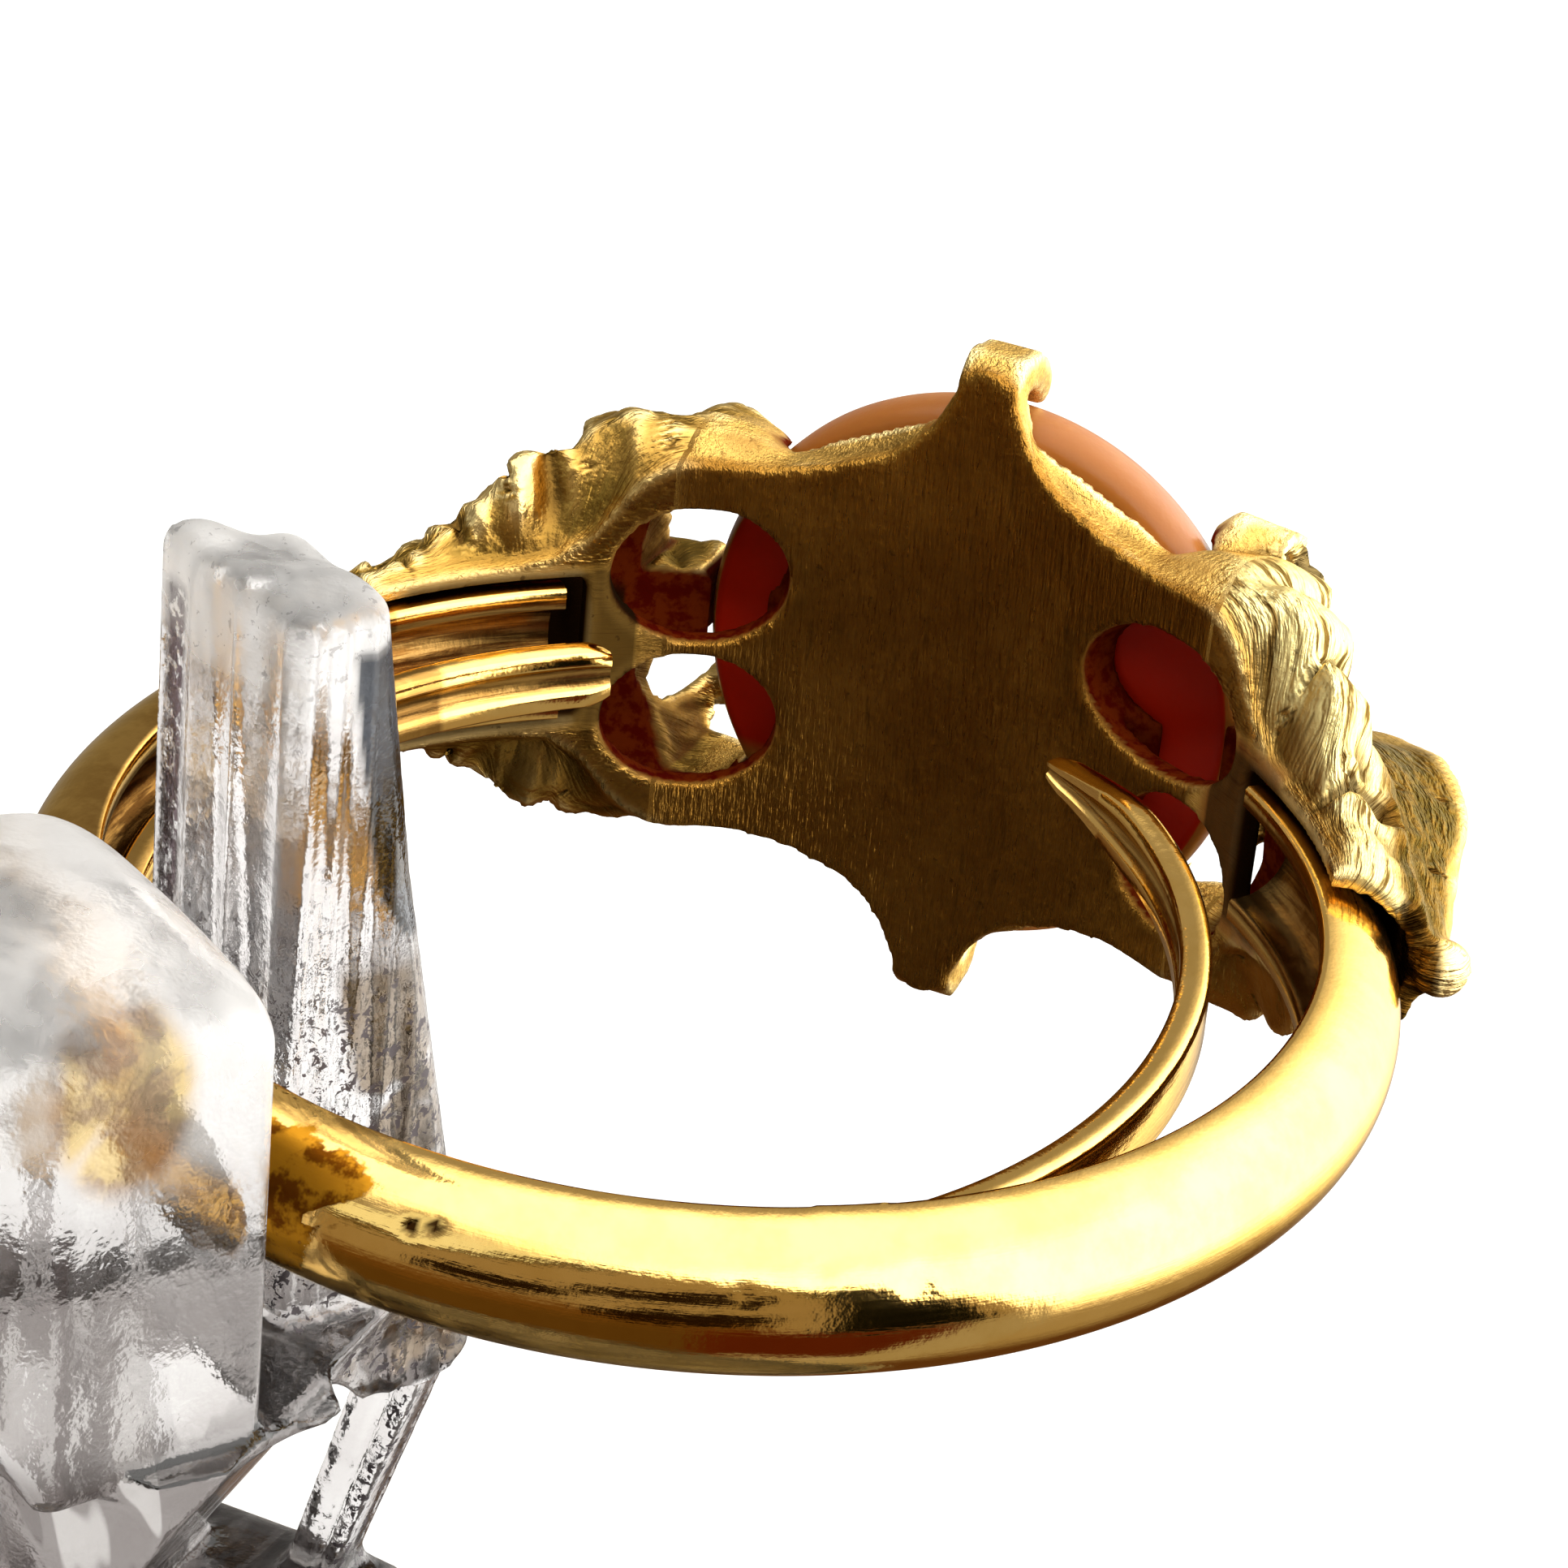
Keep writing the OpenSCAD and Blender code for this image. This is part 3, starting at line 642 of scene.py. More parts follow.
def opening_distance(x, y, z):
    """How far outside the nearest opening points lie, as a share of its size, negative inside."""
    nearest = np.full(len(x), 9.0)
    for side, end, angle, half in OPENINGS:
        a = math.radians(angle)
        across = (side * x * math.cos(a) - y * math.sin(a)) / half
        off = np.hypot(across, (end * z - OPENING_Z) / OPENING_R)
        nearest = np.minimum(nearest, np.where(side * x > 0, off - 1, 9))
    return nearest


def shoulder_places(points):
    """Where points lie on the shoulders: radius, angle, side and distance from the leaves' rim."""
    x, y, z = points.T
    r, phi = np.hypot(x, y), np.degrees(np.arctan2(np.abs(x), y))
    from_rim = np.hypot(r - section_column(phi, 4), np.abs(z) - section_column(phi, 5))
    return r, phi, np.sign(x), from_rim


def notch_depth(phi, side, from_rim):
    """1 in the notches at the leaves' rim, narrowing to nothing away from it."""
    depth = np.zeros(len(phi))
    for notches, which in ((RIGHT_NOTCHES, 1), (LEFT_NOTCHES, -1)):
        reach, half = (1.3, 2.6) if which > 0 else (0.9, 1.7)
        for at in notches:
            spread = half * np.clip(1 - from_rim / reach, 0.01, 1)
            depth = np.maximum(depth, (side == which) * np.clip(1.25 - np.abs(phi - at) / spread, 0, 1))
    return depth


def shoulder_relief(points):
    """Height of the cast leaves' folds above the plain shoulders, in millimetres."""
    r, phi, side, from_rim = shoulder_places(points)
    x, _, z = points.T
    on_leaf = ramp(4.4, 5.4, np.abs(x)) * ramp(BACK_R + 0.12, BACK_R + 0.5, r)
    across = np.degrees(np.arctan2(np.abs(z), r - LEAF_AXIS_R))
    local = np.stack([phi * 0.2, across * 0.045, side * 3 + (z > 0)], -1)
    warp = wave_noise(local, 5, 2)
    fan = across / 7.5 + warp * 0.8 + (phi - 40) * np.where(side > 0, 0.03, 0.11)
    ribs = np.abs(np.sin(fan * math.pi)) ** 0.7 - 0.6
    lumps = wave_noise(np.stack([phi * 0.33, across * 0.07, side * 2 + np.sign(z)], -1), 11, 3)
    local = np.stack([phi * 0.4 + across * 0.03, across * 0.06, side + np.sign(z)], -1)
    creases = 0.5 - np.abs(wave_noise(local, 23, 2))
    left = side < 0
    folds = np.where(left, 0.07 * ribs + 0.1 * lumps + 0.1 * creases,
                     0.03 * ribs + 0.02 * lumps + 0.015 * creases)
    return on_leaf * (folds - np.where(left, 0.22, 0.34) * notch_depth(phi, side, from_rim))


def build_setting(material):
    """The casting: its CAD node remeshed finely, with the leaves' relief and the gold's masks."""
    piece = remeshed("setting", "leafy_setting", 0.1)
    mesh = piece.data
    points, normals = read_vectors(mesh, "co"), read_vectors(mesh, "normal")
    r, phi, side, from_rim = shoulder_places(points)
    x, y, z = points.T
    # Faces inside the casting stay smooth and get dark painted shade: hollows, the cup's side, the
    # openings' walls
    hollow = ramp(0.2, 0.1, hollow_distance(r, phi, np.abs(z)))
    hollow *= ramp(BACK_R + 0.06, BACK_R + 0.14, r) * (phi > HOLLOW_PHI[0]) * (phi < HOLLOW_PHI[1])
    from_axis = np.hypot(x, z)
    to_stone = -(normals[:, 0] * np.sign(x))
    by_stone = ramp(0.25, 0.5, to_stone) * ramp(11.8, 11.4, y) * ramp(BACK_R, BACK_R + 0.1, r)
    by_stone *= ramp(6.3, 5.9, from_axis) * (from_axis > 4.7) * (phi > HOLLOW_PHI[0])
    from_opening = opening_distance(x, y, z)
    wall = ramp(0.1, 0.04, from_opening) * ramp(BACK_R + 0.03, BACK_R + 0.12, r) * (r < 11.2)
    inside = np.clip(np.maximum(np.maximum(hollow, by_stone), wall), 0, 1)
    # Where the band goes into the casting: kept smooth and painted near black as shade
    from_band = np.hypot(np.maximum(r - BAND_MID_R - 0.1, 0), z)
    slot = ramp(BAND_ROUND + 0.35, BAND_ROUND + 0.2, from_band) * (phi > 33) * ramp(60, 57, phi)
    points = points + normals * (shoulder_relief(points) * (1 - inside) * (1 - slot))[:, None]
    write_points(mesh, points)
    # What the material reads; radius and angle stay those of the plain casting
    x, y, z = points.T
    across = np.degrees(np.arctan2(z, r - LEAF_AXIS_R))
    on_leaf = ramp(4.4, 5.4, np.abs(x))
    plate_grain = np.stack([x * 1.6, y * 1.6, z * 0.16], -1)
    leaf_grain = np.stack([phi * 0.035, across * 0.085, side * 5 + r * 0.1], -1)
    proud = curvature(mesh)
    # Painted shade in the leaves' notches and in a ring round the openings
    notches = notch_depth(phi, side, from_rim) * on_leaf
    opening_shade = 0.5 * ramp(0.35, 0.05, from_opening)
    # Painted shade on the plate beside the band's slot
    by_slot = (side > 0) * ramp(31, 33, phi) * ramp(46, 44, phi) * ramp(1.9, 1.7, np.abs(z))
    by_slot *= ramp(BACK_R + 0.5, BACK_R + 0.3, r)
    keel = ramp(2, 1.7, np.abs(z)) * ramp(11.3, 11.6, r) * ramp(37, 42, phi)
    keel = np.maximum(keel, ramp(0.1, 0.35, r - section_column(phi, 4)) * ramp(31, 34, phi))
    below_crest = np.interp(phi, CREST_PHI, CREST_R) - r
    flank = on_leaf * (side > 0) * (1 - keel * ramp(0.2, 0.5, below_crest)) * ramp(0.3, 1, z)
    add_masks(piece, grain=np.where(on_leaf[:, None] > 0.5, leaf_grain, plate_grain),
              wear=np.clip(proud - 1.6 * notches - opening_shade, -1, 1),
              shade=on_leaf * (side < 0) * (0.35 + 0.55 * ramp(0.4, -0.1, proud)),
              plate=ramp(BACK_R + 0.3, BACK_R + 0.1, r) * (1 - on_leaf * 0.6),
              inside=np.maximum(inside, 0.7 * by_slot),
              slot=slot * ramp(BACK_R - 0.4, BACK_R + 0.2, r),
              brown=keel * (side > 0) * ramp(0.1, 0.3, below_crest),
              flank=flank * ramp(BACK_R + 0.1, BACK_R + 0.5, r) * (1 - inside))
    write_points(mesh, place(points))
    finish_piece(piece, "setting", material)


# The carved rose

# One row for each ring of the carving: radius, share of the height, petals, scallop, turn
ROSE_ROWS = [
    (0.3, 0.88, 3, 0.1, 0), (0.62, 1, 3, 0.1, 20), (0.86, 0.78, 3, 0.1, 35),
    (1.3, 0.93, 4, 0.09, 50), (1.56, 0.95, 4, 0.09, 62), (1.76, 0.66, 4, 0.09, 68),
    (2.3, 0.78, 5, 0.07, 84), (2.62, 0.8, 5, 0.07, 92), (2.82, 0.48, 5, 0.07, 96),
    (3.3, 0.56, 5, 0.05, 128), (3.62, 0.57, 5, 0.05, 134), (3.84, 0.26, 5, 0.05, 138),
    (4.24, 0.22, 6, 0.02, 160), (4.5, 0.11, 6, 0.01, 160)]
ROSE_SECTORS, ROSE_STEPS = 288, 6
# The plain edge under the carving: how far inside the stone's radius, height above the seat
ROSE_EDGE = [(0.35, 0), (0.2, 0.03), (0.08, 0.18), (0.02, 0.36), (0, 0.55), (0.01, 0.8),
             (0.06, ROSE_RIM - 0.2), (0.12, ROSE_RIM - 0.06), (0.24, ROSE_RIM)]


def rose_rows():
    """The rose's closed rings of points from its back's edge to the tip of the bud."""
    a = np.linspace(0, 2 * math.pi, ROSE_SECTORS, endpoint=False)
    rows = []

    def ring(radius, n, height=0.0):
        r = np.broadcast_to(radius, a.shape)
        rows.append(np.stack([r * np.cos(a), np.full_like(a, n) + height, -r * np.sin(a)], -1))

    for inset, n in ROSE_EDGE:
        ring(ROSE_R - inset, SEAT_N + n)
    keys = list(reversed(ROSE_ROWS))
    for row, following in zip(keys, keys[1:]):
        for f in np.arange(ROSE_STEPS) / ROSE_STEPS:
            both = []
            for radius, share, petals, scallop, turn in (row, following):
                wave = np.abs(np.cos(petals * (a - math.radians(turn)) / 2)) - 0.6
                both.append((radius * (1 + scallop * wave), share + 0.05 * wave * (share > 0.5)))
            r, share = (first * (1 - f) + second * f for first, second in zip(*both))
            ring(r, SEAT_N + ROSE_RIM, ROSE_RISE * np.minimum(share, 1))
    radius, share = ROSE_ROWS[0][:2]
    ring(radius, SEAT_N + ROSE_RIM + ROSE_RISE * share)
    return np.array(rows)


def build_rose(material):
    """The stone, lofted from its rings."""
    piece = mesh_object("coral_rose", *loft(rose_rows()))
    finish_piece(piece, "carved_rose", material)


# The clear clip on its stand, from distances: the clip's own frame has X outwards, Y across, Z up

CLIP_TOP, SLOT_FLOOR = 8.6, -3.2
JAW_IN, JAW_OUT = 9.6, 10.5
INNER_JAW = [(JAW_IN, 9.2), (7.7, 9.2), (7.55, 8.2), (6.95, 4), (5.4, -4.5), (6.3, -5), (7.5, -4.9),
             (9, SLOT_FLOOR), (JAW_IN, -1)]
OUTER_JAW = [(JAW_OUT, 4.1), (11.1, 4.9), (15.5, 4.9), (15.5, 0), (14.8, -1.8), (14, -3.4), (9, -3.4),
             (9, SLOT_FLOOR), (JAW_OUT, SLOT_FLOOR)]
INNER_SIDES, OUTER_SIDES = (-1.3, 2.45), (-2.2, 4.5)
# The slanting right face of the inner jaw: heights and how far out its edge lies at them
CHAMFER_Z, CHAMFER_X = (-4.5, 4, 8.2), (5.8, 7.4, 7.95)
COLUMN_AT, COLUMN_R, DOME_AT, DOME_R = (11.6, 1.3), 4.1, (12.2, 1.2, -3.3), 8.1
# The inner jaw's worn upper corner
CHIP_AT = (7.95, -1.3)
# The post's middle in the clip's frame and in the ring's
POST_AT, POST_T, POST_N, POST_R = (10.2, 0.9), -4.32, -9.28, 4.4
WEDGE_TAPER, WEDGE_TOP, WEDGE_FACETS = 1.5, -3.1, 9
# A slanting cut on the wedge's right: a point on it, across and up, and its slope
CUT_T, CUT_Z, CUT_SLOPE = -2.38, -4.87, 0.6
BASE_R, BASE_T, RING_Z = 15.0, 3.0, 22.0
PLATE_FAR, PLATE_RIGHT, PLATE_SIZE, PLATE_TOP, PLATE_T = -4.9, -1.9, (13, 9), -9.6, 1.6
LEG_TOP, LEG_FOOT, LEG_N, LEG_T, LEG_HIGH = (-2.2, -1.1), (-3.55, -2.7), -5.6, 1, -4.5
CLEARANCE = 0.06


def meet(a, b, k):
    """The distance to what two solids share, its edge rounded by about k."""
    h = np.maximum(k - np.abs(a - b), 0) / k
    return np.maximum(a, b) + h * h * k / 4


def join(a, b, k):
    """The distance to two solids together, the corner between them rounded by about k."""
    return -meet(-a, -b, k)


def outline_distance(x, z, corners):
    """Signed distance to a closed outline, negative inside."""
    nearest = np.full(np.broadcast(x, z).shape, 1e9)
    inside = np.zeros(nearest.shape, bool)
    for (x0, z0), (x1, z1) in zip(corners, corners[1:] + corners[:1]):
        ex, ez = x1 - x0, z1 - z0
        t = np.clip(((x - x0) * ex + (z - z0) * ez) / (ex * ex + ez * ez), 0, 1)
        nearest = np.minimum(nearest, np.hypot(x - x0 - t * ex, z - z0 - t * ez))
        crosses = (z0 > z) != (z1 > z)
        inside ^= crosses & (x < x0 + (z - z0) * ex / np.where(ez == 0, 1e-9, ez))
    return np.where(inside, -nearest, nearest)


def flutes(across, width, depth):
    """Shallow flutes side by side: 0 on their ridges, depth in their middles."""
    return depth * np.abs(np.sin(math.pi * across / width)) ** 0.8


def to_ring(x, y):
    """Across and out in the ring's frame, from X and Y of the clip's."""
    turn = math.radians(CLIP_TURN)
    return x * math.cos(turn) - y * math.sin(turn), x * math.sin(turn) + y * math.cos(turn)


def between(value, low, high):
    """The distance to the layer from one value to another."""
    return np.abs(value - (low + high) / 2) - (high - low) / 2


def clip_distance(x, y, z):
    """Signed distance to the whole clear stand at points of the clip's frame."""
    r = np.hypot(x, y)
    t, n = to_ring(x, y)
    corner = np.exp(-((x - CHIP_AT[0]) ** 2 / 0.35 + (y - CHIP_AT[1]) ** 2 / 0.9))
    uneven = 0.04 - 0.5 * corner - 0.2 * ramp(9.2, 9.5, x) + 0.07 * np.sin(3.1 * y + 2 * x)
    top = z - (CLIP_TOP + uneven)
    side = y - INNER_SIDES[1] + flutes(x - 8, 0.5, 0.08)
    inner = meet(outline_distance(x, z, INNER_JAW), meet(side, INNER_SIDES[0] - y, 0.1), 0.2)
    inner = meet(inner, (y - INNER_SIDES[1] - x + np.interp(z, CHAMFER_Z, CHAMFER_X)) * 0.71, 0.12)
    inner = meet(inner, r - (FINGER_R - CLEARANCE) + flutes(y - INNER_SIDES[0], 1.1, 0.13), 0.12)
    inner = meet(inner, top, 0.4)
    dome = np.sqrt((x - DOME_AT[0]) ** 2 + (y - DOME_AT[1]) ** 2 + (z - DOME_AT[2]) ** 2) - DOME_R
    dome = dome + 0.06 * np.sin(1.1 * x + 1.6 * y + 1.3 * z)
    px, py = x - COLUMN_AT[0], y - COLUMN_AT[1]
    column = np.hypot(px, py) - COLUMN_R + flutes(np.arctan2(py, px), math.pi / 9, 0.16)
    outer = meet(outline_distance(x, z, OUTER_JAW), between(y, *OUTER_SIDES), 0.35)
    outer = meet(meet(outer, column, 0.25), dome, 0.6)
    # The wedge narrows downwards and has flat facets round it
    around = np.hypot(x - POST_AT[0], y - POST_AT[1])
    wide = POST_R - WEDGE_TAPER * np.clip((WEDGE_TOP - z) / (WEDGE_TOP - PLATE_TOP + 0.5), 0, 1)
    facet = np.arctan2(n - POST_N, t - POST_T) / (2 * math.pi) * WEDGE_FACETS
    facet = np.cos((facet - np.round(facet)) * 2 * math.pi / WEDGE_FACETS)
    wedge = np.maximum(around * facet - wide * 0.97, between(z, PLATE_TOP - 0.5, WEDGE_TOP))
    wedge = meet(wedge, (t - CUT_T - CUT_SLOPE * (z - CUT_Z)) * 0.857, 0.15)
    down = np.clip((LEG_HIGH - z) / (LEG_HIGH - PLATE_TOP), 0, 1)
    left, right = (high + (low - high) * down for high, low in zip(LEG_TOP, LEG_FOOT))
    leg = meet(between(t, left, right), between(n, LEG_N - LEG_T, LEG_N), 0.12)
    leg = np.maximum(leg, between(z, PLATE_TOP - 0.4, LEG_HIGH))
    leg = leg + 0.14 * np.exp(-((t - left - (right - left) * 0.6) / 0.09) ** 2)
    plate = between(n, PLATE_FAR - PLATE_SIZE[1], PLATE_FAR)
    plate = meet(plate, between(z, PLATE_TOP - PLATE_T, PLATE_TOP), 1.1)
    plate = meet(plate, between(t, PLATE_RIGHT - PLATE_SIZE[0], PLATE_RIGHT), 0.4)
    post = np.maximum(around - POST_R + WEDGE_TAPER, between(z, 1 - RING_Z, PLATE_TOP - 0.5))
    rim = BASE_T / 2
    base = np.hypot(np.maximum(around - (BASE_R - rim), 0), z + RING_Z - rim) - rim
    whole = inner
    for part, k in ((outer, 0.2), (wedge, 0.35), (leg, 0.2), (plate, 0.5), (post, 0.4), (base, 1.6)):
        whole = join(whole, part, k)
    groove = np.maximum(np.hypot(r - BAND_MID_R, z) - BAND_ROUND - CLEARANCE, FINGER_R - CLEARANCE - r)
    return np.maximum(np.maximum(whole, -groove), -RING_Z - z)


def spaced(*stops):
    """Grid lines from one stop to the next, each stretch with its own step."""
    lines = [np.arange(a, b, step) for (a, step), (b, _) in zip(stops, stops[1:])]
    return np.concatenate(lines + [[stops[-1][0]]])


def skin(distance, *lines):
    """The surface where a distance is nothing, as points and quads, from the lines of a grid."""
    field = np.broadcast_to(distance(*np.ix_(*lines)), [len(line) for line in lines])
    inside = field < 0
    steps = np.ix_(*(np.diff(line) for line in lines))
    shape = tuple(n - 1 for n in field.shape)
    total, count = np.zeros(shape + (3,)), np.zeros(shape)
    corner = lambda k: tuple(slice(c, c + n) for c, n in zip(k, shape))
    # A cell's point is the mean of the places where its twelve edges cross the surface
    for axis in range(3):
        for ends in ((0, 0), (0, 1), (1, 0), (1, 1)):
            low, high = np.insert(ends, axis, 0), np.insert(ends, axis, 1)
            a, b = field[corner(low)], field[corner(high)]
            crosses = (a < 0) != (b < 0)
            t = np.where(crosses, a / np.where(crosses, a - b, 1), 0)
            starts = np.ix_(*(line[c:c + n] for line, c, n in zip(lines, low, shape)))
            for k in range(3):
                at = starts[k] + (steps[k] * t if k == axis else 0)
                total[..., k] += np.where(crosses, at, 0)
            count += crosses
    used = count > 0
    index = np.full(shape, -1)
    index[used] = np.arange(used.sum())
    points = total[used] / count[used][:, None]
    quads = []
    for axis in range(3):
        u, v = [a for a in range(3) if a != axis]
        a = inside[tuple(slice(0, -1) if k == axis else slice(1, -1) for k in range(3))]
        b = inside[tuple(slice(1, None) if k == axis else slice(1, -1) for k in range(3))]

        def cell(du, dv):
            part = [slice(0, None)] * 3
            part[u] = slice(1 - du, index.shape[u] - du)
            part[v] = slice(1 - dv, index.shape[v] - dv)
            return index[tuple(part)]
        loop = np.stack([cell(1, 1), cell(0, 1), cell(0, 0), cell(1, 0)], -1)
        flip = axis == 1
        quads.append(loop[a & ~b][:, ::-1 if flip else 1])
        quads.append(loop[~a & b][:, ::1 if flip else -1])
    quads = np.concatenate(quads)
    # Two steps along the slope settle the points on the surface
    for _ in range(2):
        x, y, z = points.T
        e = 0.01
        d = distance(x, y, z)
        ahead = distance(x + e, y, z), distance(x, y + e, z), distance(x, y, z + e)
        slope = np.stack([a - d for a in ahead], -1) / e
        steep = np.maximum((slope ** 2).sum(-1), 0.2)
        points = points - np.clip(d / steep, -0.1, 0.1)[:, None] * slope
    return points, quads.tolist()


def build_clip(material):
    """The whole clear stand as one skin, with the masks for its tints, dust, painted shade and the
    painted reflections of the gold it holds.
    """
    xs = spaced((-5.2, 0.5), (4.8, 0.12), (15, 0.5), (26, 1))
    ys = spaced((-15, 0.5), (-3.6, 0.12), (6, 0.5), (17, 1))
    zs = spaced((-22.4, 0.28), (-18.6, 0.5), (-11.8, 0.12), (9.2, 1))
    points, quads = skin(clip_distance, xs, ys, zs)
    x, y, z = points.T
    across, out = to_ring(x, y)
    piece = mesh_object("clear_clip_stand", np.stack([across, out, z], -1), quads)
    r = np.hypot(x, y)
    jaw = ramp(9.9, 9.3, r)
    on_jaw = jaw * (z > -4.6) * (y > INNER_SIDES[0] - 0.2) * (y < INNER_SIDES[1] + 0.2)
    from_post = np.hypot(x - POST_AT[0], y - POST_AT[1])
    on_leg = (z < -4.8) & (z > PLATE_TOP + 0.1) & (out > LEG_N - LEG_T - 0.3) & (from_post > 2)
    right_half = ramp(0, 0.1, across - np.interp(z, (PLATE_TOP, LEG_HIGH), (-3.1, -1.6)))
    # Painted shade: greyer towards the bottom, from the slot's floor down and below the jaw
    grey = np.maximum(ramp(-1.5, SLOT_FLOOR, z), 0.35 * (1 - jaw) * ramp(3, 0, z))
    around = np.arctan2(out - POST_N, across - POST_T)
    # Painted shade on the inner jaw: a near-black band past its edge, brown by its slanting face,
    # violet on its side
    beyond_edge = x - np.interp(z, (3, 3.5, 4.1, 5.2, 8), (7.1, 7.5, 7.78, 8, 8.35))
    blue = ramp(0.04, -0.04, beyond_edge) * ramp(1.7, 1.9, y)
    amber = ramp(0, -0.2, x - np.interp(z, CHAMFER_Z, CHAMFER_X) - 1.3) * ramp(2, 2.2, y)
    violet = ramp(-0.45, -0.6, y) * ramp(-1.2, -1.1, y) * ramp(9, 9.15, x)
    # Painted reflections of the gold: seen through the outer jaw's side, and where the clip lies round
    # the band
    off_glow = np.hypot((x - 12.9) / 1.1, (z - 3.2) / 1.5)
    off_groove = np.abs(np.hypot(r - BAND_MID_R, z) - BAND_ROUND - CLEARANCE)
    contact = ramp(0.03, 0.015, np.maximum(off_groove, FINGER_R + 0.1 - r))
    add_masks(piece, speckle=np.where(on_leg, right_half, on_jaw * (0.35 + 0.65 * ramp(4.5, 1.5, z))),
              grey=grey * np.where(on_leg, 0.1, 1),
              facet=np.stack([around * 2.2 + z * 0.12, z * 0.1, np.hypot(x - 10, y) * 0.1], -1),
              blue=on_jaw * blue * ramp(8.1, 7.9, z) * ramp(2.9, 3.1, z),
              amber=on_jaw * amber * ramp(3.2, 2.6, z),
              violet=on_jaw * violet * ramp(8, 7.7, z) * ramp(0, 3, z),
              glow=ramp(3.7, 4, y) * (x > JAW_OUT) * ramp(1.15, 0.8, off_glow),
              contact=contact * np.where(jaw > 0.5, 1, ramp(0.75, 0.4, z)),
              frost=np.maximum(jaw * ramp(6.6, 7.6, z), (1 - jaw) * ramp(1, 3.4, z)))
    finish_piece(piece, "clip_stand", material)


# Floor, light and camera

FLOOR_HALF, FLOOR_GREY = 1.5, 0.55


def build_floor():
    """A plain pale floor, unseen in the pieces' reflections."""
    mesh = bpy.data.meshes.new("floor")
    corners = [(x * FLOOR_HALF, y * FLOOR_HALF, 0) for x, y in ((-1, -1), (1, -1), (1, 1), (-1, 1))]
    mesh.from_pydata(corners, [], [(0, 1, 2, 3)])
    floor = linked("floor", mesh)
    material, t = new_material("floor_white")
    t.finish(t.principled(Base_Color=(FLOOR_GREY, FLOOR_GREY, FLOOR_GREY), Roughness=0.9))
    mesh.materials.append(material)
    floor.visible_glossy = False


# Straight away from the tent's open mouth
TENT_MOUTH = (-0.034, 0.882, 0.47)


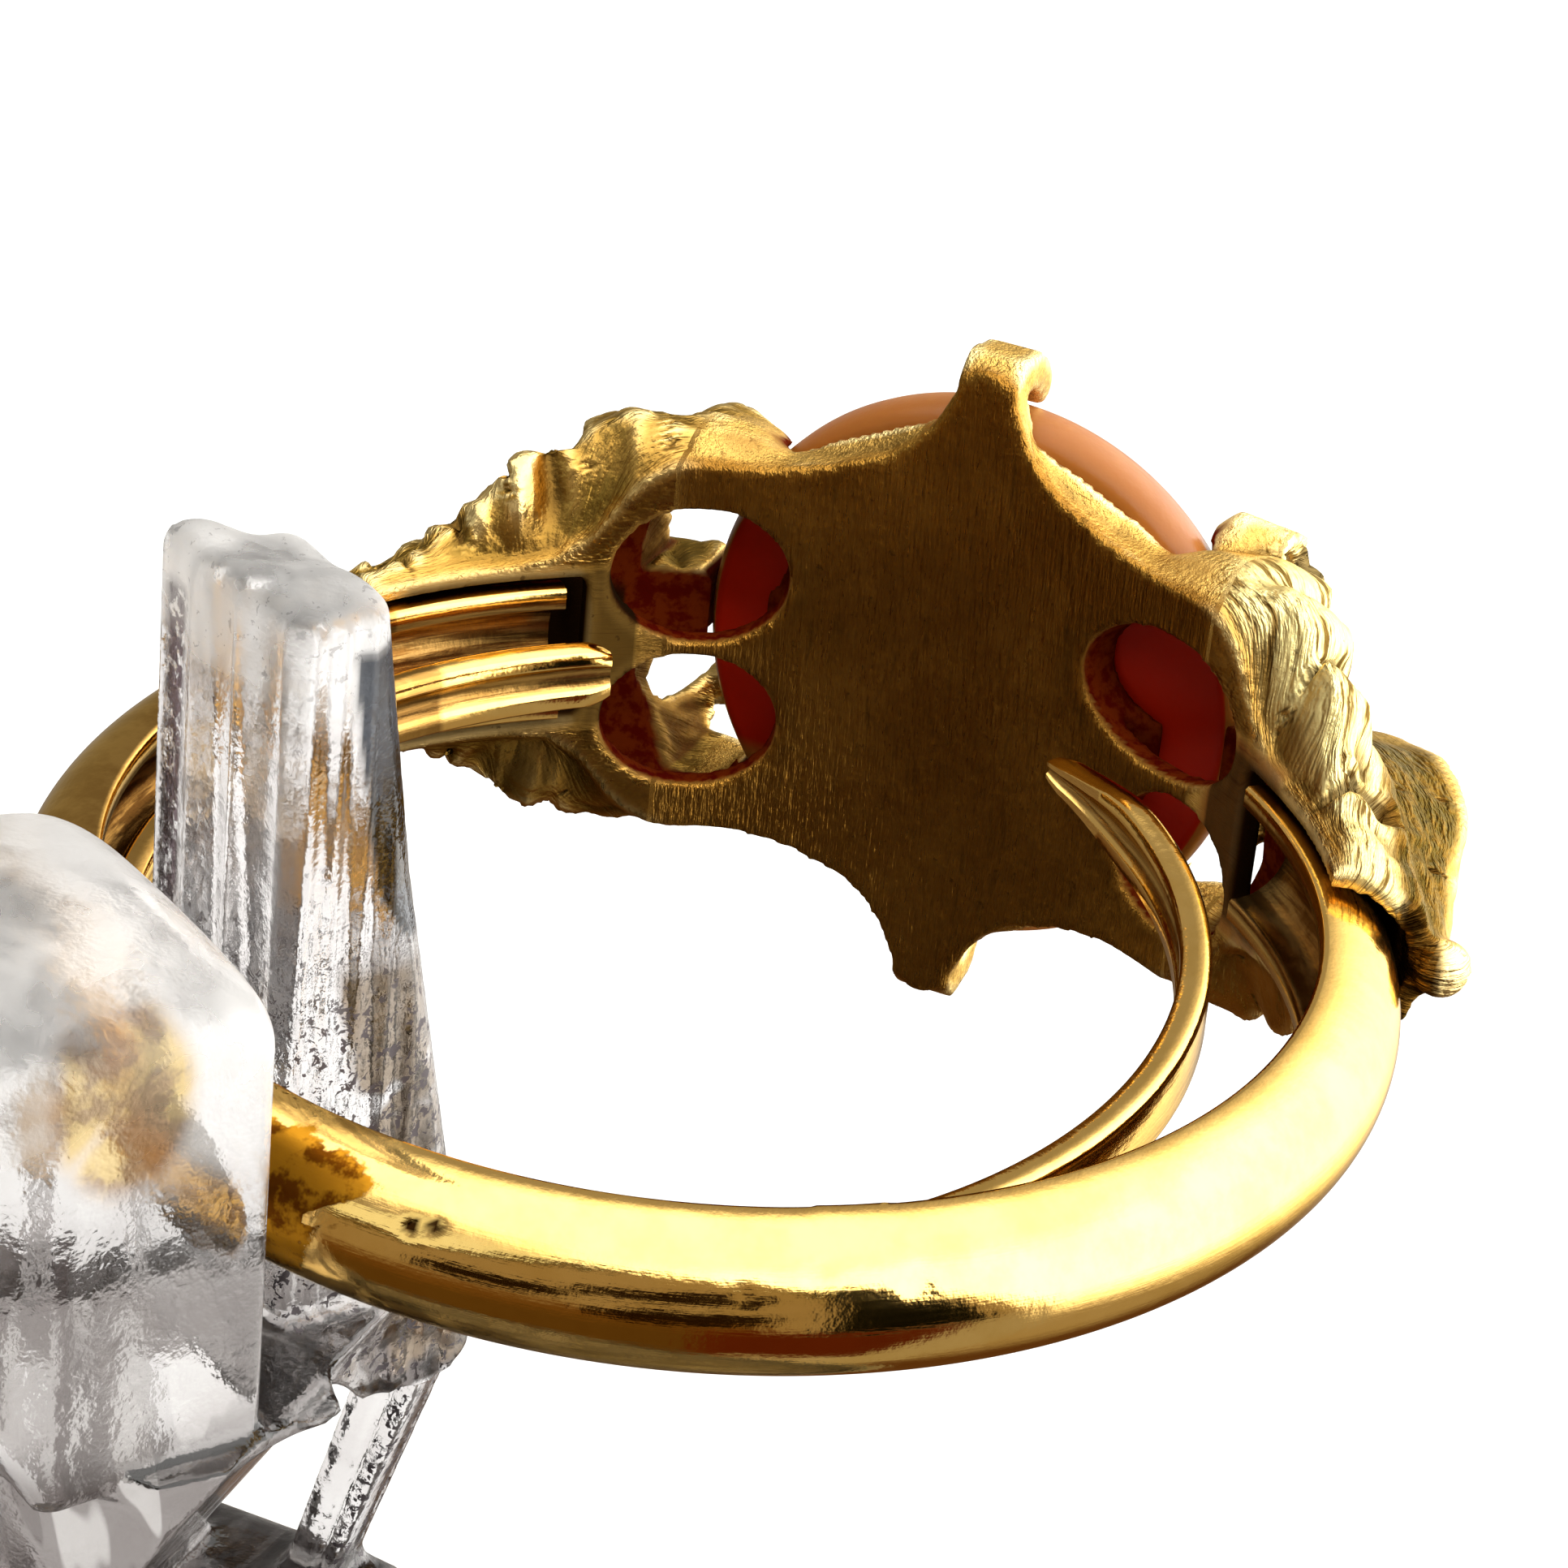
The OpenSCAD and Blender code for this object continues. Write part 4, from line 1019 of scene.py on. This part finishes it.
def build_world():
    """A bright tent above and to the right, open in front and below to a dim warm room."""
    world = bpy.data.worlds.new("studio")
    bpy.context.scene.world = world
    world.use_nodes = True
    t = Tree(world.node_tree)
    direction = t.vector("NORMALIZE", t.add("TexCoord", out="Generated"))
    axes = t.add("SeparateXYZ", {0: direction}, out=None)
    x, z = axes.outputs["X"], axes.outputs["Z"]
    round_from = t.math("ARCTAN2", x, t.times(axes.outputs["Y"], -1.0))
    level = t.plus(z, t.times(t.less(t.noise(direction, 2.5, 2.0, 0.6), 0.5), 0.25))

    def from_angle(low, high):
        return t.smooth(round_from, math.radians(low), math.radians(high))

    def streak(middle, reach, at, slope, half):
        """A dark lens in the room: its middle's angle, reach and height, its slope and half height."""
        along = t.over(t.less(round_from, math.radians(middle)), math.radians(reach))
        off = t.over(t.less(level, t.plus(at, t.times(along, slope))), half)
        return t.smooth(t.plus(t.times(off, off), t.times(along, along)), 1.15, 0.75)

    # Under the ring: the open mouth ahead, the tent's lower edge beside it
    edge = t.smooth(t.vector("DOT_PRODUCT", direction, TENT_MOUTH), -0.4, -0.3)
    below = t.times(t.smooth(x, 0.15, 0.28), t.smooth(z, -0.9, -0.94))
    ahead = t.mix(below, (0.11, 0.06, 0.014), (0.45, 0.42, 0.4))
    ahead = t.mix(t.times(from_angle(24, 30), t.smooth(z, -0.93, -0.89)), ahead, (0.1, 0.018, 0.003))
    ahead = t.mix(from_angle(67, 73), ahead, (0.42, 0.39, 0.34))
    low = t.mix(edge, ahead, t.blend(x, 0.1, 0.5, (0.12, 0.055, 0.02), (0.42, 0.36, 0.28)))
    # The room in front, with dark streaks, a horizon and a bright space above it
    pale = t.most(t.smooth(level, -0.38, -0.12), from_angle(34, 40))
    front = t.mix(pale, (0.16, 0.08, 0.02), (0.36, 0.29, 0.2))
    dark = t.most(streak(-4, 13, -0.06, 0.05, 0.15), streak(22, 16, 0.2, 0.06, 0.13))
    dark = t.most(dark, streak(24, 15, -0.25, 0.07, 0.17))
    front = t.mix(dark, front, (0.015, 0.006, 0.001))
    room = t.blend(z, -0.55, -0.4, low, front)
    bow = t.over(t.less(round_from, math.radians(18)), math.radians(30))
    horizon = t.most(t.less(0.66, t.times(t.times(bow, bow), 0.3)), 0.3)
    above = t.less(level, horizon)
    room = t.blend(above, -0.1, -0.06, room, (0.1, 0.07, 0.02))
    room = t.blend(above, 0.0, 0.04, room, (1.1, 1.2, 1.2))
    # The tent, with one dark shape in it
    side = t.blend(x, -0.35, 0.45, (0.4, 0.38, 0.35), (4.8, 4.75, 4.6))
    side = t.blend(z, 0.62, 0.9, side, (3.2, 3.2, 3.1))
    light = t.mix(t.times(edge, t.smooth(z, -0.72, -0.22)), room, side)
    top = t.less(0.5, t.times(t.less(round_from, math.radians(54)), 2.93))
    blob = t.smooth(t.less(level, t.math("MINIMUM", top, 0.53)), 0.05, -0.02)
    blob = t.times(t.times(blob, t.smooth(level, -0.54, -0.47)), from_angle(45, 47))
    light = t.mix(blob, light, (0.004, 0.004, 0.001))
    background = t.add("Background", {"Color": light, "Strength": 1.0})
    t.finish(background, "OutputWorld")


# The camera's place as seen from the ring's centre, in degrees and millimetres
CAMERA_AZIMUTH, CAMERA_ELEVATION, CAMERA_DISTANCE = 22.773, 30.394, 79.157
CAMERA_ROLL, CAMERA_PAN, CAMERA_TILT = 5.321, -0.693, -1.787
LENS, SENSOR = 115.53, 36.0


def build_camera():
    """The camera at the photo's place, aimed a little off the ring's centre and rolled."""
    azimuth, elevation = math.radians(CAMERA_AZIMUTH), math.radians(CAMERA_ELEVATION)
    level = math.cos(elevation)
    back = Vector((math.sin(azimuth) * level, -math.cos(azimuth) * level, math.sin(elevation)))
    forward = -back
    right = forward.cross(Vector((0, 0, 1))).normalized()
    down = forward.cross(right)
    turn = Matrix.Identity(3)
    for angle, axis in ((CAMERA_ROLL, "Z"), (CAMERA_PAN, "Y"), (CAMERA_TILT, "X")):
        turn = turn @ Matrix.Rotation(math.radians(angle), 3, axis)
    right, down, forward = turn @ Matrix((right, down, forward))
    camera = linked("camera", bpy.data.cameras.new("camera"))
    camera.data.sensor_width = SENSOR
    camera.data.lens = LENS
    camera.data.clip_start = 0.005
    axes = Matrix((right, -down, -forward)).transposed().to_4x4()
    camera.matrix_world = Matrix.Translation(RING_AT + back * CAMERA_DISTANCE * MM) @ axes
    bpy.context.scene.camera = camera


view = bpy.context.scene.view_settings
view.view_transform = "Standard"
view.look = "None"

build_camera()
build_world()
build_floor()
build_shank(polished_gold())
build_rose(coral_resin())
build_setting(cast_gold())
build_clip(clear_acrylic())
